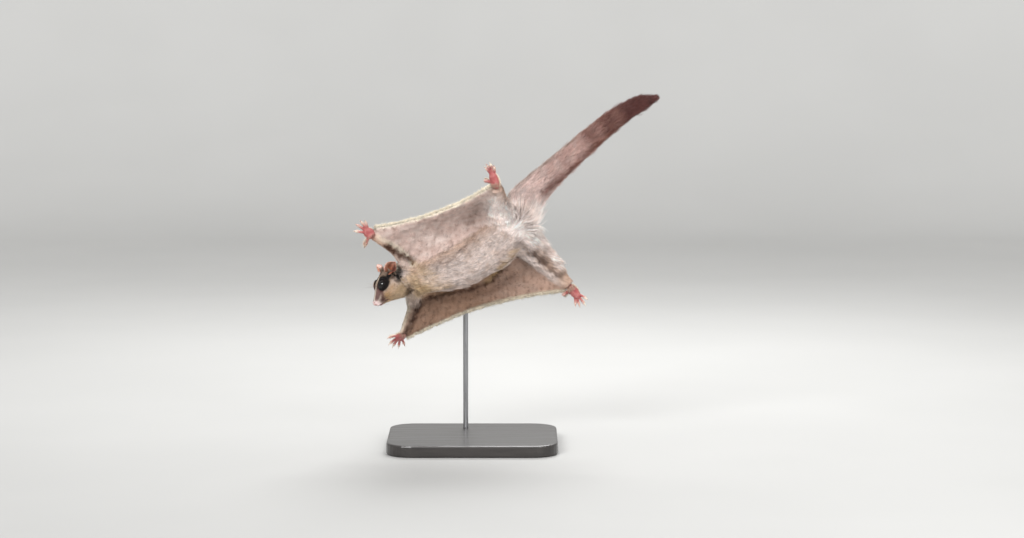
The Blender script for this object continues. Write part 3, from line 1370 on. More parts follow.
class GLIDER_PG_parts(bpy.types.PropertyGroup):
    """Bare parts and the stand."""
    flesh: colour_setting("Paw flesh", "red flesh of palms and soles", linear(165, 87, 86))
    flesh_pale: colour_setting("Paw pale", "paler flesh of palms and soles",
                               linear(190, 128, 123))
    ear: colour_setting("Ear", "salmon ear skin", linear(147, 94, 75))
    ear_pale: colour_setting("Ear rim", "paler ear skin", linear(183, 131, 110))
    nose: colour_setting("Nose", "moist pink nose skin", linear(197, 149, 144))
    nose_pale: colour_setting("Nose shade", "paler nose skin", linear(211, 178, 172))
    claw: colour_setting("Claw", "pale horn of the claws", linear(190, 174, 151))
    eye: colour_setting("Eye", "near black of the eyes", linear(14, 9, 8))
    lacquer: colour_setting("Lacquer", "dark lacquer of the base", linear(36, 32, 30))
    steel: colour_setting("Steel", "brushed steel of the rods", linear(156, 156, 158))
    whisker_length: length_setting("Whisker length", "Length of the longest whiskers", 0.024)


class GLIDER_PG_stage(bpy.types.PropertyGroup):
    """Floor, backdrop and lights."""
    floor: colour_setting("Floor", "plain pale floor", (0.44, 0.44, 0.431))
    key: number_setting("Key light", "Strength of the soft sun from the upper left front", 2.75)
    fill: number_setting("Fill light", "Power of the light from the lower right", 9.9,
                         unit="POWER")
    rim: number_setting("Rim light", "Power of the light from above and behind", 17.0,
                        unit="POWER")
    sky: number_setting("Sky light", "Strength of the even light all round", 0.65)


def settings(name):
    """One of the scene's groups of settings."""
    return getattr(bpy.context.scene, f"glider_{name}")


def palette():
    """The colours of skin and coat by name."""
    marks = settings("marks")
    return {key: np.array(tuple(getattr(marks, key))) for key in MARK_COLOURS}


def keep(piece, slot, *nodes):
    """Fixes a finished piece to the solids' body and names what it stands for."""
    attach(piece, "root")
    if nodes:
        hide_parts(*nodes)
    return piece


# Finished skins by name, each with its surface, labels, colours and the coat's fields
SKIN = {}


def ellipsoid(centre, axes, halves, rings=20, segments=28):
    """A sphere of rings, stretched to half sizes along three directions, in metres."""
    polar = np.linspace(0.0, math.pi, rings + 1)[1:-1]
    places, faces = tube(np.outer(-np.cos(polar), (1.0, 0.0, 0.0)), np.sin(polar), segments)
    places[-2:] = [(-1.0, 0.0, 0.0), (1.0, 0.0, 0.0)]
    return to_world(centre + (places * halves) @ axes), faces


def body_sources():
    """Solids of the body's skin, with a core for the head and one for each paw."""
    cores = [merged_nodes([node for node in FLESH if node != "head"], SWELL),
             ellipsoid(in_head(PLUG_PLACE), head_frame(), np.array(PLUG_HALF))]
    for kind, side in PAW_PAIRS:
        centre, axes, halves = paw_frame(kind, side)
        cores.append(ellipsoid(centre, axes, np.array(halves) * PAW_CORE))
    return joined(cores)


def wrinkle(surface, labels, rise):
    """Soft waves of the membranes: both faces move alike, along the trunk's up."""
    thin = on_membranes(labels) * 1.0
    pose = to_pose(surface.places)
    flat = pose * (1.0, 1.0, 0.3)
    waves = 0.6 * ripple(flat, 13.0, SEED + 17) + 0.4 * ripple(flat, 6.0, SEED + 18)
    share = surface.smooth(thin, 6) * waves
    ups = trunk_path([0.5])[2][0]
    surface.places = surface.places + rise * share[:, None] * (ups @ AXES)


def raise_folds(surface, labels):
    """Rolls and grooves along the lines of FOLDS; grooves stay off the thin membranes."""
    thin = on_membranes(labels) * 1.0
    solid = 1.0 - np.clip(2.0 * surface.smooth(thin, 4), 0.0, 1.0)
    pose = to_pose(surface.places)
    front = step_up((surface.normals() @ AXES.T)[:, 2], 0.0, 0.4) * solid
    rise = sum(height * front * stroke_share(pose, line, width) for line, width, height in FOLDS)
    surface.places = surface.places + surface.normals() * (rise * MM)[:, None]


# The mouth's groove and its lips: height in metres, place above the mouth line, half width
LIP_ROLLS = ((-0.00075, 0.0, 0.42), (0.00025, 1.3, 0.8), (0.00022, -1.2, 0.7))
LIP_AHEAD = (26.5, 29.0)
# The head's bare skin: round the eye and towards the nose; where its back dips into the body
BARE_EYE = (6.8, 8.8)
BARE_MUZZLE = (30.0, 38.0)
BARE_MUZZLE_SHARE = 0.85
HEAD_SEAM = (5.5, 12.0)
# Where the hair starts: distances from the eye and the nose, and from the head's back end
HAIR_FROM_EYE = (6.5, 7.1)
HAIR_FROM_NOSE = (2.7, 3.3)
HAIR_FROM_BACK = (6.0, 8.0)
DENSE_AHEAD = (22.0, 34.0)
# Where the belly's hair gives way to the back's, and the trunk's to the head's
BELLY_SIDE = (-0.25, -0.15)
TRUNK_HAIR_END = (9.0, 11.0)


def shape_face(surface):
    """Cuts the mouth's groove between two lips into the head's fine skin."""
    local = head_local(to_pose(surface.places))
    gap = mouth_gap(local)
    front = step_up(local[:, 0], *LIP_AHEAD)
    rise = sum(height * bell(gap, middle, width) for height, middle, width in LIP_ROLLS)
    surface.places = surface.places + surface.normals() * (front * rise)[:, None]


def keep_skin(name, surface, labels, rounds, spread_rounds):
    """Stores a finished skin with its markings and the coat's fields."""
    pose = to_pose(surface.places)
    normals = surface.normals() @ AXES.T
    colours = surface.smooth(markings(labels, pose, normals, palette()), rounds)
    if name == "body":
        labels = np.where(labels == GROUPS.index("head"), GROUPS.index("trunk"), labels)
    flow, sizes = coat_fields(labels, pose, normals)
    SKIN[name] = {"surface": surface, "labels": labels, "pose": pose, "normals": normals,
                  "colours": colours, "flow": surface.smooth(flow, 2 * spread_rounds),
                  "sizes": surface.smooth(sizes, spread_rounds)}


class GLIDER_OT_skin(bpy.types.Operator):
    """One skin round the flesh, fine on the head, inside the solids by the coat's depth"""
    bl_idname = "glider.skin"
    bl_label = "Skin"

    def execute(self, context):
        coat = settings("coat")
        body = Surface(*remeshed(*body_sources(), coat.voxel))
        labels = group_labels(body.places)
        body.relax(rounds=8)
        body.melt(labels)
        depth = body.smooth(np.where(on_membranes(labels), coat.membrane_depth, coat.depth) + SWELL, 6)
        body.places = body.places - body.normals() * depth[:, None]
        wrinkle(body, labels, coat.wrinkle)
        raise_folds(body, labels)
        keep_skin("body", body, labels, rounds=4, spread_rounds=7)
        head = Surface(*remeshed(*merged_nodes(["head", "nose"], SWELL), coat.head_voxel))
        head.relax(rounds=2)
        local = head_local(to_pose(head.places))
        bare = np.maximum(1.0 - step_up(distance(local, EYE_PLACE), *BARE_EYE),
                          BARE_MUZZLE_SHARE * step_up(local[:, 0], *BARE_MUZZLE))
        depth = coat.depth * (1.0 - bare) + SWELL
        depth = depth + coat.seam_depth * (1.0 - step_up(local[:, 0], *HEAD_SEAM))
        head.places = head.places - head.normals() * head.smooth(depth, 5)[:, None]
        shape_face(head)
        labels = np.zeros(len(head.places), dtype=int)
        keep_skin("head", head, labels, rounds=1, spread_rounds=12)
        places, faces = joined([(body.places, body.faces), (head.places, head.faces)])
        colours = np.concatenate([SKIN["body"]["colours"], SKIN["head"]["colours"]])
        piece = new_piece("glider_skin", places, faces, skin_finish(), colours)
        keep(piece, "fur_belly", *FLESH)
        return {"FINISHED"}


def piece_weight(name, skin):
    """How densely a coat piece grows at each place, where its group alone doesn't tell."""
    if name in ("coat_face", "coat_head"):
        ahead = step_up(head_local(skin["pose"])[:, 0], FACE_FROM - 0.5, FACE_FROM + 0.5)
        return head_weight(skin["pose"]) * (ahead if name == "coat_face" else 1.0 - ahead)
    if name.startswith(("coat_belly", "coat_back")):
        share, angle, _, _, _ = along_path("trunk", skin["pose"])
        below = step_up(-np.sin(angle), *BELLY_SIDE)
        clear = 1.0 - step_up(head_local(skin["pose"])[:, 0], *TRUNK_HAIR_END)
        if name == "coat_back":
            return (1.0 - below) * clear
        ahead = share > BELLY_SPLIT
        return below * clear * (ahead if name == "coat_belly_front" else ~ahead)
    return 1.0


def moved_colours(skin, labels, corners, shares, roots, normals, shift):
    """The skin's smoothed colours, changed as the markings change from root to mid-hair."""
    tones = palette()
    here = markings(labels, roots, normals, tones)
    moved = markings(labels, roots + shift, normals, tones)
    own = spread(skin["colours"], corners, shares)
    return np.clip(own + moved - here, np.minimum(own, moved), np.maximum(own, moved))


def clumps(roots, flow, labels):
    """Streaks along the hair: noise of places pressed together along each group's flow."""
    ways = np.zeros_like(roots)
    for one in np.unique(labels):
        ways[labels == one] = unit(flow[labels == one].mean(axis=0))
    pressed = roots - 0.74 * np.sum(roots * ways, axis=1, keepdims=True) * ways
    return 0.6 * ripple(pressed, 5.0, SEED + 30) + 0.5 * ripple(pressed, 2.4, SEED + 31)


class GLIDER_OT_coat(bpy.types.Operator):
    """Tufts of hair over the whole skin, in one joined mesh for each region"""
    bl_idname = "glider.coat"
    bl_label = "Coat"

    def execute(self, context):
        finish = coat_finish("coat_hair")
        for number, (name, part, groups, count, slot) in enumerate(COAT_PIECES):
            skin = SKIN[part]
            weight = np.isin(skin["labels"], [GROUPS.index(one) for one in groups]) * 1.0
            weight = weight * piece_weight(name, skin)
            generator = np.random.default_rng(SEED + 20 + number)
            corners, shares = scatter(skin["surface"], weight,
                                      int(count * settings("coat").density), generator)
            roots = spread(skin["pose"], corners, shares)
            normals = unit(spread(skin["normals"], corners, shares))
            tufts = regional_tufts(name, part, corners, shares, roots, normals, SEED + 40 + number)
            unwrap = region_unwrap(groups, roots, normals)
            keep(coat_piece(name, *tufts, unwrap, finish), slot)
        return {"FINISHED"}


def regional_tufts(name, part, corners, shares, roots, normals, seed):
    """Tufts of one region: the skin's fields, swayed and streaked by noise of place."""
    skin = SKIN[part]
    flow = spread(skin["flow"], corners, shares)
    sizes = spread(skin["sizes"], corners, shares)
    labels = skin["labels"][corners[:, 0]]
    shift = 0.55 * sizes[:, :1] * square_to(flow, normals)
    colours = moved_colours(skin, labels, corners, shares, roots, normals, shift)
    streak = clumps(roots, flow, labels) * (HEAD_STREAK if part == "head" else 1.0)
    sway = np.column_stack([ripple(roots, scale, SEED + seed_step)
                            for scale, seed_step in ((13.0, 7), (11.0, 8), (12.0, 9))])
    flow = unit(flow) + (CALM_SWAY if name in CALM_PIECES else WIDE_SWAY) * sway
    sizes = sizes * np.array([settings("coat").length, 1.0, 1.0])
    sizes[:, 0] *= 1.0 + 0.12 * ripple(roots, 9.0, SEED + 10) + 0.14 * streak
    sizes[:, 2] += 4.5 * streak
    colours = colours * (1.0 + 0.14 * streak)[:, None]
    return tuft_mesh(roots, normals, flow, sizes, colours, seed)


def region_unwrap(groups, roots, normals):
    """Unwrap of a region with one group, or of two limbs side by side."""
    if len(groups) == 1:
        return unwrap_place(groups[0], roots, normals)
    return halved_unwrap(groups, roots, normals)


def head_weight(pose):
    """Where the head grows hair: none on the lids and nose, little in the mouth line."""
    local = head_local(pose)
    eye = step_up(distance(local, EYE_PLACE), *HAIR_FROM_EYE)
    nose = step_up(distance(local, NOSE_PLACE), *HAIR_FROM_NOSE)
    mouth = bell(mouth_gap(local), 0.0, 0.55) * step_up(local[:, 0], *MOUTH_AHEAD)
    return (eye * nose * (1.0 - 0.9 * mouth) * step_up(local[:, 0], *HAIR_FROM_BACK)
            * (1.0 + 1.2 * step_up(local[:, 0], *DENSE_AHEAD)))


def halved_unwrap(groups, pose, normals):
    """Unwraps of two limbs side by side, each root on the limb whose line is nearer."""
    lines = [group_path(group)[0][::3] for group in groups]
    gaps = [np.min(np.linalg.norm(pose[:, None] - line[None], axis=2), axis=1) for line in lines]
    first = gaps[0] < gaps[1]
    left = unwrap_place(groups[0], pose, normals) * (0.5, 1.0)
    right = unwrap_place(groups[1], pose, normals) * (0.5, 1.0) + (0.5, 0.0)
    return np.where(first[:, None], left, right)


class GLIDER_OT_fringe(bpy.types.Operator):
    """Pale hair that stands out from the free edges of the membranes"""
    bl_idname = "glider.fringe"
    bl_label = "Fringe"

    def execute(self, context):
        finish = coat_finish("fringe_hair", sheen=0.1)
        for side in SIDES:
            piece = coat_piece(f"coat_fringe_{side}", *fringe_tufts(side), finish)
            keep(piece, "fur_belly")
        return {"FINISHED"}


def fringe_tufts(side):
    """Tufts in a band on both faces of a free edge, their length in waves along it."""
    generator = np.random.default_rng(SEED + 60 + (side == "left"))
    count = FRINGE_TUFTS
    rows = (np.arange(count) + generator.uniform(0.0, 1.0, count)) / count
    line, lefts, ups = membrane_edge(side, rows)
    along = unit(np.gradient(line, axis=0))
    outward = square_to(lefts * SIGN[side], along)
    inset = generator.uniform(*FRINGE_INSET, count)
    face = generator.choice((-1.0, 1.0), count)
    over = (face * generator.uniform(*FRINGE_OVER, count))[:, None]
    roots = line - outward * inset[:, None] + ups * over
    flow = outward + along * generator.normal(0.35, 0.4, count)[:, None]
    flow = flow - 0.2 * over * ups
    normals = np.where(over > 0.0, 1.0, -1.0) * ups
    waves = np.sin(rows * 210.0 + 3.0 * np.sin(rows * 57.0))
    length = generator.uniform(*FRINGE_LENGTH, count) * (1.0 + 0.25 * waves) + 0.35 * inset
    sizes = np.column_stack([length, np.full(count, FRINGE_WIDTH), np.full(count, FRINGE_LIFT)])
    coat = Layers(roots, palette(), "fringe")
    coat.lay("throat", generator.uniform(0.0, 0.18, count))
    coat.lay("membrane" if side == "left" else "membrane_low", 0.6 * step_up(inset, 2.4, 4.4))
    tufts = tuft_mesh(roots, normals, flow, sizes, coat.rows, SEED + 62)
    return *tufts, np.column_stack([inside_map(rows), 0.1 + inset * 0.15])


class GLIDER_OT_eyes(bpy.types.Operator):
    """Wet black eyeballs that touch the lids: spheres of rings"""
    bl_idname = "glider.eyes"
    bl_label = "Eyes"

    def execute(self, context):
        finish = Finish("eye_wet", Roughness=0.04, Specular_IOR_Level=0.38)
        dark = colour_of(settings("parts").eye)
        rim = finish.noise(scale=300.0, detail=2.0).ramp(0.45, 0.7)
        finish.feed("Base Color", finish.mix(rim, dark, times(dark, 1.6)))
        radius = EYE_RADIUS + EYE_WETNESS
        for side in SIDES:
            centre = in_head(np.array(EYE_PLACE) * (1.0, SIGN[side], 1.0))
            places, faces = ellipsoid(centre, head_frame(), np.full(3, radius), 40, 56)
            keep(new_piece(f"eyeball_{side}", places, faces, finish), "eye_black",
                 f"eye_{side}")
        return {"FINISHED"}


def ear_grid(side, rows=44, columns=31):
    """Middle sheet of an ear: a sine for its width, edges rolled forward, sunk at its root."""
    mirror = np.array([1.0, SIGN[side], 1.0])
    axes = head_frame()
    root = in_head(np.array(EAR_ROOT) * mirror)
    way = unit((np.array(EAR_WAY) * mirror) @ axes)
    face = square_to((np.array(EAR_FACE) * mirror) @ axes, way)
    across = np.cross(way, face)
    length = np.linspace(-EAR_SINK, 1.0, rows)[:, None]
    width = np.linspace(-1.0, 1.0, columns)[None, :]
    above = np.clip(length, 0.0, 1.0)
    stem = np.clip(1.0 + length / EAR_SINK, 0.0, 1.0)
    span = EAR_HALF_WIDTH * np.clip(np.sin(math.pi * (0.20 + 0.74 * above)) * (0.4 + 0.6 * stem),
                                    EAR_STEM, 1.0) ** 0.8
    span = span * (1.0 - 0.55 * step_up(length, 0.86, 1.0))
    roll = EAR_CUP * width ** 2 * (1.0 - 0.45 * above) * stem
    low = np.clip(width * SIGN[side], 0.0, 1.0) * (1.0 - step_up(length, 0.3, 0.7))
    span = span * (1.0 - 0.42 * low)
    folds = (EAR_FOLD * ear_waves(length, width) * step_up(length, 0.05, 0.3)
             * (1.0 - step_up(length, 0.7, 1.0)))
    depth = roll + EAR_BEND * above ** 2 + folds
    middle = (root + length[..., None] * EAR_LENGTH * way + (span * width)[..., None] * across
              + depth[..., None] * face)
    return middle, face, length * np.ones_like(width), width * np.ones_like(length)


def ear_waves(length, width):
    """Sine of the folds that run slanting over an ear."""
    return np.sin(width * 7.0 + 3.0 * length)


def ear_tints(length, width, rear, rim):
    """Tints of an ear's inner and outer face, by the shares of its length and width."""
    length, rim = length.ravel(), rim.ravel()
    valley = (0.5 - 0.5 * ear_waves(length, width.ravel()))[:, None]
    rear = step_up(rear.ravel(), -0.1, 0.6) * step_up(length, 0.1, 0.35)
    inner = Layers(length, EAR_TINTS, "plain")
    inner.lay("root", 0.9 * (1.0 - step_up(length, 0.4, 0.8)))
    inner.lay("rear", 0.9 * rear * (1.0 - step_up(length, 0.75, 0.95)))
    inner.rows = inner.rows * (1.0 - 0.35 * valley)
    inner.lay("rim", 0.85 * rim)
    outer = Layers(length, EAR_TINTS, "back")
    outer.lay("back_rim", 0.8 * rim)
    return np.concatenate([inner.rows, outer.rows])


class GLIDER_OT_ears(bpy.types.Operator):
    """Thin cupped ears: dark red inside, a pale rim, folds across the cup"""
    bl_idname = "glider.ears"
    bl_label = "Ears"

    def execute(self, context):
        parts = settings("parts")
        finish = bare_finish("ear_skin", colour_of(parts.ear), colour_of(parts.ear_pale),
                             scale=900.0, roughness=0.5, weight=0.2, creased=False)
        for side in SIDES:
            middle, face, length, width = ear_grid(side)
            normals = unit(np.cross(np.gradient(middle, axis=0), np.gradient(middle, axis=1)))
            normals = normals * np.sign(np.sum(normals * face, axis=2, keepdims=True))
            rear = width * SIGN[side]
            rim = np.maximum(np.clip(-rear, 0.0, 1.0) ** 6,
                             step_up(length - 0.08 * rear, 0.86, 0.98))
            half = 0.5 * EAR_THICKNESS * (1.1 - 0.45 * np.clip(length, 0.0, 1.0))
            half = (half * (1.0 - 0.55 * rim))[..., None]
            places, faces = sheet_shell(middle + half * normals, middle - half * normals)
            piece = new_piece(f"ear_skin_{side}", to_world(places), faces, finish,
                              ear_tints(length, width, rear, rim))
            keep(piece, "skin_ear", f"ear_{side}")
        return {"FINISHED"}


def sheet_shell(front, back):
    """A closed shell from two grids of points, joined along their rims."""
    rows, columns = front.shape[:2]
    numbers = np.arange(rows * columns).reshape(rows, columns)
    a, b = numbers[:-1, :-1].ravel(), numbers[:-1, 1:].ravel()
    c, d = numbers[1:, 1:].ravel(), numbers[1:, :-1].ravel()
    count = rows * columns
    sheets = [np.column_stack([a, b, c]), np.column_stack([a, c, d]),
              np.column_stack([c, b, a]) + count, np.column_stack([d, c, a]) + count]
    rim = np.concatenate([numbers[0], numbers[1:, -1], numbers[-1, -2::-1], numbers[-2:0:-1, 0]])
    after = np.roll(rim, -1)
    sheets += [np.column_stack([rim, rim + count, after + count]),
               np.column_stack([rim, after + count, after])]
    places = np.concatenate([front.reshape(-1, 3), back.reshape(-1, 3)])
    faces = np.concatenate(sheets)
    flat = vertex_normals(places, faces)[:count]
    outward = np.sum(flat * (front - back).reshape(-1, 3)) > 0.0
    return places, faces if outward else faces[:, ::-1]


class GLIDER_OT_nose(bpy.types.Operator):
    """Moist nose pad with its nostrils: the solid, welded and rounded by subdivision"""
    bl_idname = "glider.nose"
    bl_label = "Nose"

    def execute(self, context):
        parts = settings("parts")
        finish = bare_finish("nose_skin", colour_of(parts.nose), colour_of(parts.nose_pale),
                             scale=2600.0, roughness=0.32, weight=0.15)
        places, faces = merged_nodes(["nose"], 0.0)
        piece = new_piece("nose_pad", places, faces, finish, np.ones((len(places), 3)))
        step = piece.modifiers.new("round", "SUBSURF")
        step.levels = 1
        step.render_levels = 1
        keep(piece, "nose_pink", "nose")
        return {"FINISHED"}


def paw_relief(pose):
    """Shares of the pads, of the wrists' creases and of the fingertips: bells of distance."""
    raised, creases, tips = np.zeros((3, len(pose)))
    for kind, side in PAW_PAIRS:
        centre, axes, halves = paw_frame(kind, side)
        wrist = (-WRIST_BACK * halves[0], 0.0, halves[2])
        gap = distance((pose - centre) @ axes.T, wrist)
        creases = np.maximum(creases, bell(gap, 0.0, CREASE_WIDTH))
        pads = [centre + axes[2] * halves[2] + axes[0] * ahead * halves[0]
                + axes[1] * aside * halves[1] for ahead, aside in PALM_PADS]
        for line, radius, face in digit_lines(kind, side):
            pads.append(line[-1] + face * radius * 0.8)
            tips = np.maximum(tips, bell(distance(pose, line[-1]), 0.0, TIP_WIDTH))
        for pad in pads:
            raised += bell(distance(pose, pad), 0.0, PAD_WIDTH)
    return np.clip(raised, 0.0, 1.0), creases, tips


class GLIDER_OT_paws(bpy.types.Operator):
    """Bare hands and feet with raised pads on palm, sole and fingertips"""
    bl_idname = "glider.paws"
    bl_label = "Hands and feet"

    def execute(self, context):
        parts = settings("parts")
        finish = bare_finish("paw_skin", colour_of(parts.flesh), colour_of(parts.flesh_pale),
                             scale=1400.0, roughness=0.45, weight=0.12)
        surface = Surface(*remeshed(*merged_nodes(PAWS, PAW_SWELL), PAW_VOXEL))
        surface.relax(rounds=2)
        pose = to_pose(surface.places)
        normals = surface.normals() @ AXES.T
        raised, creases, tips = paw_relief(pose)
        surface.places = surface.places + surface.normals() * (raised * PAD_HEIGHT)[:, None]
        skin = Layers(pose, PAW_TINTS, "plain")
        skin.lay("hollow", 0.8 * (1.0 - raised))
        skin.lay("crease", 0.9 * creases)
        skin.lay("tip", 0.9 * tips)
        skin.lay("back", 0.8 * back_of_paw(pose, normals))
        piece = new_piece("paws_skin", surface.places, surface.faces, finish, skin.rows)
        keep(piece, "skin_pink", *PAWS)
        SKIN["paws"] = {"surface": surface, "normals": normals}
        return {"FINISHED"}


def nearest_paw(pose):
    """Number of the nearest paw and the coordinates along its own directions."""
    frames = [paw_frame(kind, side) for kind, side in PAW_PAIRS]
    gaps = np.stack([distance(pose, centre) for centre, _, _ in frames])
    number = np.argmin(gaps, axis=0)
    centres = np.array([one[0] for one in frames])[number]
    axes = np.array([one[1] for one in frames])[number]
    return number, np.einsum("nk,nak->na", pose - centres, axes), axes


def back_of_paw(pose, normals):
    """1 where a paw's surface faces away from its palm, 0 on the palm."""
    axes = nearest_paw(pose)[2]
    return step_up(-np.sum(normals * axes[:, 2], axis=1), -0.4, 0.4)


# The paws' hair along them: where it stops, the tuft at the wrist, how it gets shorter
PAW_HAIR_STOP = (9.0, 15.0)
WRIST_TUFT = (-6.0, -3.5)
PAW_HAIR_FALL = (-6.0, 9.0)
PAW_HAIR_LOSS = 2.8


class GLIDER_OT_paw_hair(bpy.types.Operator):
    """Short pale hair on the backs of hands and feet"""
    bl_idname = "glider.paw_hair"
    bl_label = "Hair of the paws"

    def execute(self, context):
        surface = SKIN["paws"]["surface"]
        pose = to_pose(surface.places)
        local = nearest_paw(pose)[1]
        weight = back_of_paw(pose, SKIN["paws"]["normals"])
        weight = weight * (1.0 - step_up(local[:, 0], *PAW_HAIR_STOP))
        weight = np.maximum(weight, 1.0 - step_up(local[:, 0], *WRIST_TUFT))
        generator = np.random.default_rng(SEED + 80)
        count = int(PAW_TUFTS * settings("coat").density)
        corners, shares = scatter(surface, weight, count, generator)
        roots = spread(pose, corners, shares)
        normals = unit(spread(SKIN["paws"]["normals"], corners, shares))
        number, local, axes = nearest_paw(roots)
        length = PAW_HAIR[0] - PAW_HAIR_LOSS * step_up(local[:, 0], *PAW_HAIR_FALL)
        sizes = np.column_stack([length, *(np.full(count, one) for one in PAW_HAIR[1:])])
        coat = Layers(roots, palette(), "flank")
        coat.lay("fringe", 0.9 * back_of_paw(roots, normals))
        coat.lay("wrist", generator.uniform(0.0, 0.3, count))
        tufts = tuft_mesh(roots, normals, axes[:, 0], sizes, coat.rows, SEED + 81)
        turn = np.arctan2(local[:, 2], local[:, 1]) / (2.0 * math.pi) + 0.5
        reach = np.clip((local[:, 0] + 12.0) / 36.0, 0.0, 1.0)
        unwrap = np.column_stack([(number + 0.04 + 0.92 * turn) / 4.0, inside_map(reach)])
        keep(coat_piece("coat_paws", *tufts, unwrap, coat_finish("paw_hair")), "skin_pink")
        return {"FINISHED"}


def claw(line, face):
    """Circles that shrink along a parabola, from inside a digit's tip to the point."""
    last = unit(line[-1] - line[-2])
    share = np.linspace(0.0, 1.0, 8)[:, None]
    hook = (line[-1] - last * CLAW_SUNK - face * 0.35
            + last * (CLAW_LENGTH + 1.2) * share + face * CLAW_HOOK * share ** 2)
    return tube(hook, CLAW_RADIUS * (1.0 - share[:, 0] ** 1.6) + CLAW_POINT, 8)


class GLIDER_OT_claws(bpy.types.Operator):
    """Curved claws on all digits but the feet's first, which has none"""
    bl_idname = "glider.claws"
    bl_label = "Claws"

    def execute(self, context):
        finish = Finish("claw_horn", Roughness=0.3, Coat_Weight=0.4)
        pale = colour_of(settings("parts").claw)
        grain = finish.noise(scale=800.0, detail=2.0, stretch=(1.0, 1.0, 0.3)).ramp(0.3, 0.7)
        finish.feed("Base Color", finish.mix(grain, times(pale, 0.7), pale))
        digits = [digit for kind, side in PAW_PAIRS
                  for digit in digit_lines(kind, side)[(kind == "foot"):]]
        places, faces = joined([claw(line, face) for line, _, face in digits])
        keep(new_piece("claws", to_world(places), faces, finish), "skin_pink")
        return {"FINISHED"}


class GLIDER_OT_whiskers(bpy.types.Operator):
    """Whiskers: thin tubes that leave the muzzle and bend back as a parabola"""
    bl_idname = "glider.whiskers"
    bl_label = "Whiskers"

    def execute(self, context):
        finish = Finish("whisker", Roughness=0.35)
        tone = finish.noise(scale=200.0, detail=1.0).ramp(0.2, 0.8)
        finish.feed("Base Color", finish.mix(tone, linear(46, 34, 30), linear(120, 96, 84)))
        generator = np.random.default_rng(SEED + 90)
        reach = settings("parts").whisker_length / MM
        rows, columns = WHISKER_GRID
        pieces = []
        for sign in (1.0, -1.0):
            for row in range(rows):
                for column in range(columns):
                    step = (1.0, column, row)
                    length = reach * (0.55 + 0.1 * column) * generator.uniform(0.85, 1.1)
                    pieces.append(whisker(step @ WHISKER_ROOT, step @ WHISKER_WAY, sign, length,
                                          WHISKER_RADIUS))
            for column in range(rows):
                step = (1.0, column)
                pieces.append(whisker(step @ BROW_ROOT, step @ BROW_WAY, sign, reach * 0.4,
                                      BROW_RADIUS))
        places, faces = joined(pieces)
        keep(new_piece("whiskers", to_world(places), faces, finish), "fur_back")
        return {"FINISHED"}


def whisker(root, way, sign, length, radius):
    """A thin tube from a root in the head; a whisker of the muzzle bends back."""
    mirror = np.array([1.0, sign, 1.0])
    share = np.linspace(0.0, 1.0, 12)[:, None]
    going = unit((way * mirror) @ head_frame())
    line = in_head(root * mirror) + going * length * share
    if radius == WHISKER_RADIUS:
        back = (WHISKER_BACK @ head_frame()) * length * 0.32
        line = line - going * 0.8 + back * share ** 2
    return tube(line, radius * (1.0 - 0.8 * share[:, 0]), 5)


class GLIDER_OT_stand(bpy.types.Operator):
    """Finishes of the stand: satin lacquer with fine grain, brushed steel rods"""
    bl_idname = "glider.stand"
    bl_label = "Stand"

    def execute(self, context):
        parts = settings("parts")
        lacquer = Finish("stand_lacquer_finish", Roughness=0.4, Coat_Weight=0.3,
                         Coat_Roughness=0.15)
        dark = colour_of(parts.lacquer)
        grain = lacquer.noise(scale=60.0, detail=4.0, stretch=(0.25, 3.0, 3.0), roughness=0.6,
                              distortion=0.4).ramp(0.3, 0.7)
        lacquer.feed("Base Color", lacquer.mix(grain, times(dark, 0.75), times(dark, 1.35)))
        lacquer.feed("Roughness", 0.36 + 0.1 * grain)
        lacquer.bump(grain, distance=0.00008, strength=0.5)
        steel = Finish("stand_steel_finish", Metallic=1.0, Roughness=0.32)
        bright = colour_of(parts.steel)
        brushed = steel.noise(scale=900.0, detail=3.0, stretch=(1.0, 1.0, 0.04)).ramp(0.25, 0.75)
        steel.feed("Base Color", steel.mix(brushed, times(bright, 0.82), bright))
        steel.feed("Roughness", 0.26 + 0.14 * brushed)
        for part in ("base", "saddle", "post", "knuckle", "arm"):
            finish = lacquer if part in ("base", "saddle") else steel
            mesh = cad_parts[f"stand_{part}"].data
            mesh.materials.clear()
            mesh.materials.append(finish.material)
        return {"FINISHED"}


class GLIDER_OT_stage(bpy.types.Operator):
    """Pale floor that curves up into a backdrop, soft lights and the camera"""
    bl_idname = "glider.stage"
    bl_label = "Stage"

    def execute(self, context):
        stage = settings("stage")
        finish = Finish("pale_floor", Roughness=0.9)
        pale = colour_of(stage.floor)
        tone = finish.noise(scale=3.0, detail=2.0).ramp(0.3, 0.7)
        finish.feed("Base Color", finish.mix(tone, times(pale, 0.97), pale))
        floor = new_piece("floor", *sweep_floor(), finish)
        world = bpy.data.worlds.new("studio")
        bpy.context.scene.world = world
        world.use_nodes = True
        sky = world.node_tree.nodes["Background"]
        sky.inputs["Color"].default_value = SKY_COLOUR
        sky.inputs["Strength"].default_value = stage.sky
        for name, (place, size) in LAMPS.items():
            make_lamp(name, getattr(stage, name), Vector(place), size)
        make_camera()
        bpy.context.scene.view_settings.view_transform = "Standard"
        return {"FINISHED"}


def make_lamp(name, power, place, size):
    """A sun (the key) or a square lamp at a place, turned to the animal."""
    lamp = bpy.data.lights.new(name, "SUN" if name == "key" else "AREA")
    lamp.energy = power
    setattr(lamp, "angle" if name == "key" else "size", size)
    light = bpy.data.objects.new(name, lamp)
    light.location = place
    light.rotation_euler = (place - Vector(LAMP_TARGET)).to_track_quat("Z", "Y").to_euler()
    bpy.context.scene.collection.objects.link(light)


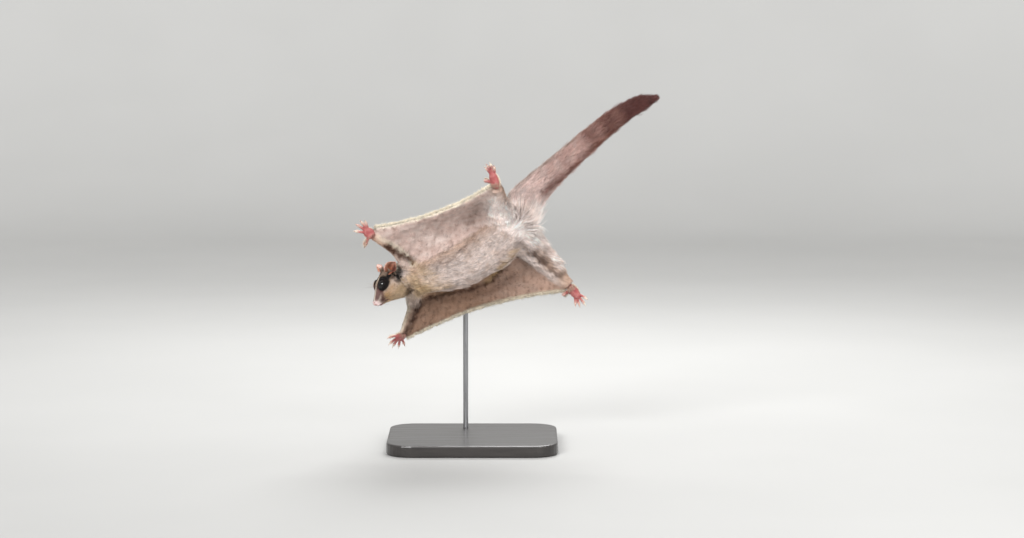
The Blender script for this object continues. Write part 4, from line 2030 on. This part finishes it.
def sweep_floor():
    """A wide sheet: flat, then a quarter circle up, then a wall, along the view."""
    bend = np.linspace(0.0, 0.5 * math.pi, 24)
    depth = np.concatenate([[-FLOOR_REACH], BEND_FROM + BEND_RADIUS * np.sin(bend),
                            [BEND_FROM + BEND_RADIUS]])
    height = np.concatenate([[0.0], BEND_RADIUS - BEND_RADIUS * np.cos(bend), [FLOOR_REACH]])
    wide = np.array([-FLOOR_REACH, FLOOR_REACH])
    places = np.stack(np.broadcast_arrays(wide[None], depth[:, None], height[:, None]), axis=2)
    rows = np.arange(len(depth) - 1) * 2
    faces = np.stack([rows, rows + 1, rows + 3, rows + 2], axis=1)
    return places.reshape(-1, 3), faces


def make_camera():
    """Camera square to the pose plane, one photo dot for each millimetre there."""
    camera = bpy.data.objects.new("camera", bpy.data.cameras.new("camera"))
    camera.data.sensor_width = FILM_WIDTH
    camera.data.lens = FILM_WIDTH * VIEW_DISTANCE / PHOTO_WIDTH
    camera.data.clip_end = 20.0
    camera.location = to_world((*VIEW_MIDDLE, VIEW_DISTANCE)).tolist()
    camera.rotation_euler = (math.radians(90.0 - PLANE_TILT), 0.0, 0.0)
    bpy.context.scene.collection.objects.link(camera)
    bpy.context.scene.camera = camera


OPERATORS = (GLIDER_OT_skin, GLIDER_OT_coat, GLIDER_OT_fringe, GLIDER_OT_eyes, GLIDER_OT_ears,
             GLIDER_OT_nose, GLIDER_OT_paws, GLIDER_OT_paw_hair, GLIDER_OT_claws,
             GLIDER_OT_whiskers, GLIDER_OT_stand, GLIDER_OT_stage)
GROUP_TYPES = {"marks": GLIDER_PG_marks, "coat": GLIDER_PG_coat, "parts": GLIDER_PG_parts,
               "stage": GLIDER_PG_stage}


class GLIDER_PT_panel(bpy.types.Panel):
    """Steps and settings of the glider model"""
    bl_label = "Glider"
    bl_idname = "GLIDER_PT_panel"
    bl_space_type = "VIEW_3D"
    bl_region_type = "UI"
    bl_category = "Glider"

    def draw(self, context):
        for one in OPERATORS:
            self.layout.operator(one.bl_idname)
        for name, kind in GROUP_TYPES.items():
            box = self.layout.box()
            for key in kind.__annotations__:
                box.prop(settings(name), key)


def register():
    for one in (*GROUP_TYPES.values(), *OPERATORS, GLIDER_PT_panel):
        bpy.utils.register_class(one)
    for name, kind in GROUP_TYPES.items():
        setattr(bpy.types.Scene, f"glider_{name}", bpy.props.PointerProperty(type=kind))


def unregister():
    for name in GROUP_TYPES:
        delattr(bpy.types.Scene, f"glider_{name}")
    for one in reversed((*GROUP_TYPES.values(), *OPERATORS, GLIDER_PT_panel)):
        bpy.utils.unregister_class(one)


def main():
    register()
    for one in OPERATORS:
        group, step = one.bl_idname.split(".")
        getattr(getattr(bpy.ops, group), step)()


if __name__ == "__main__":
    main()
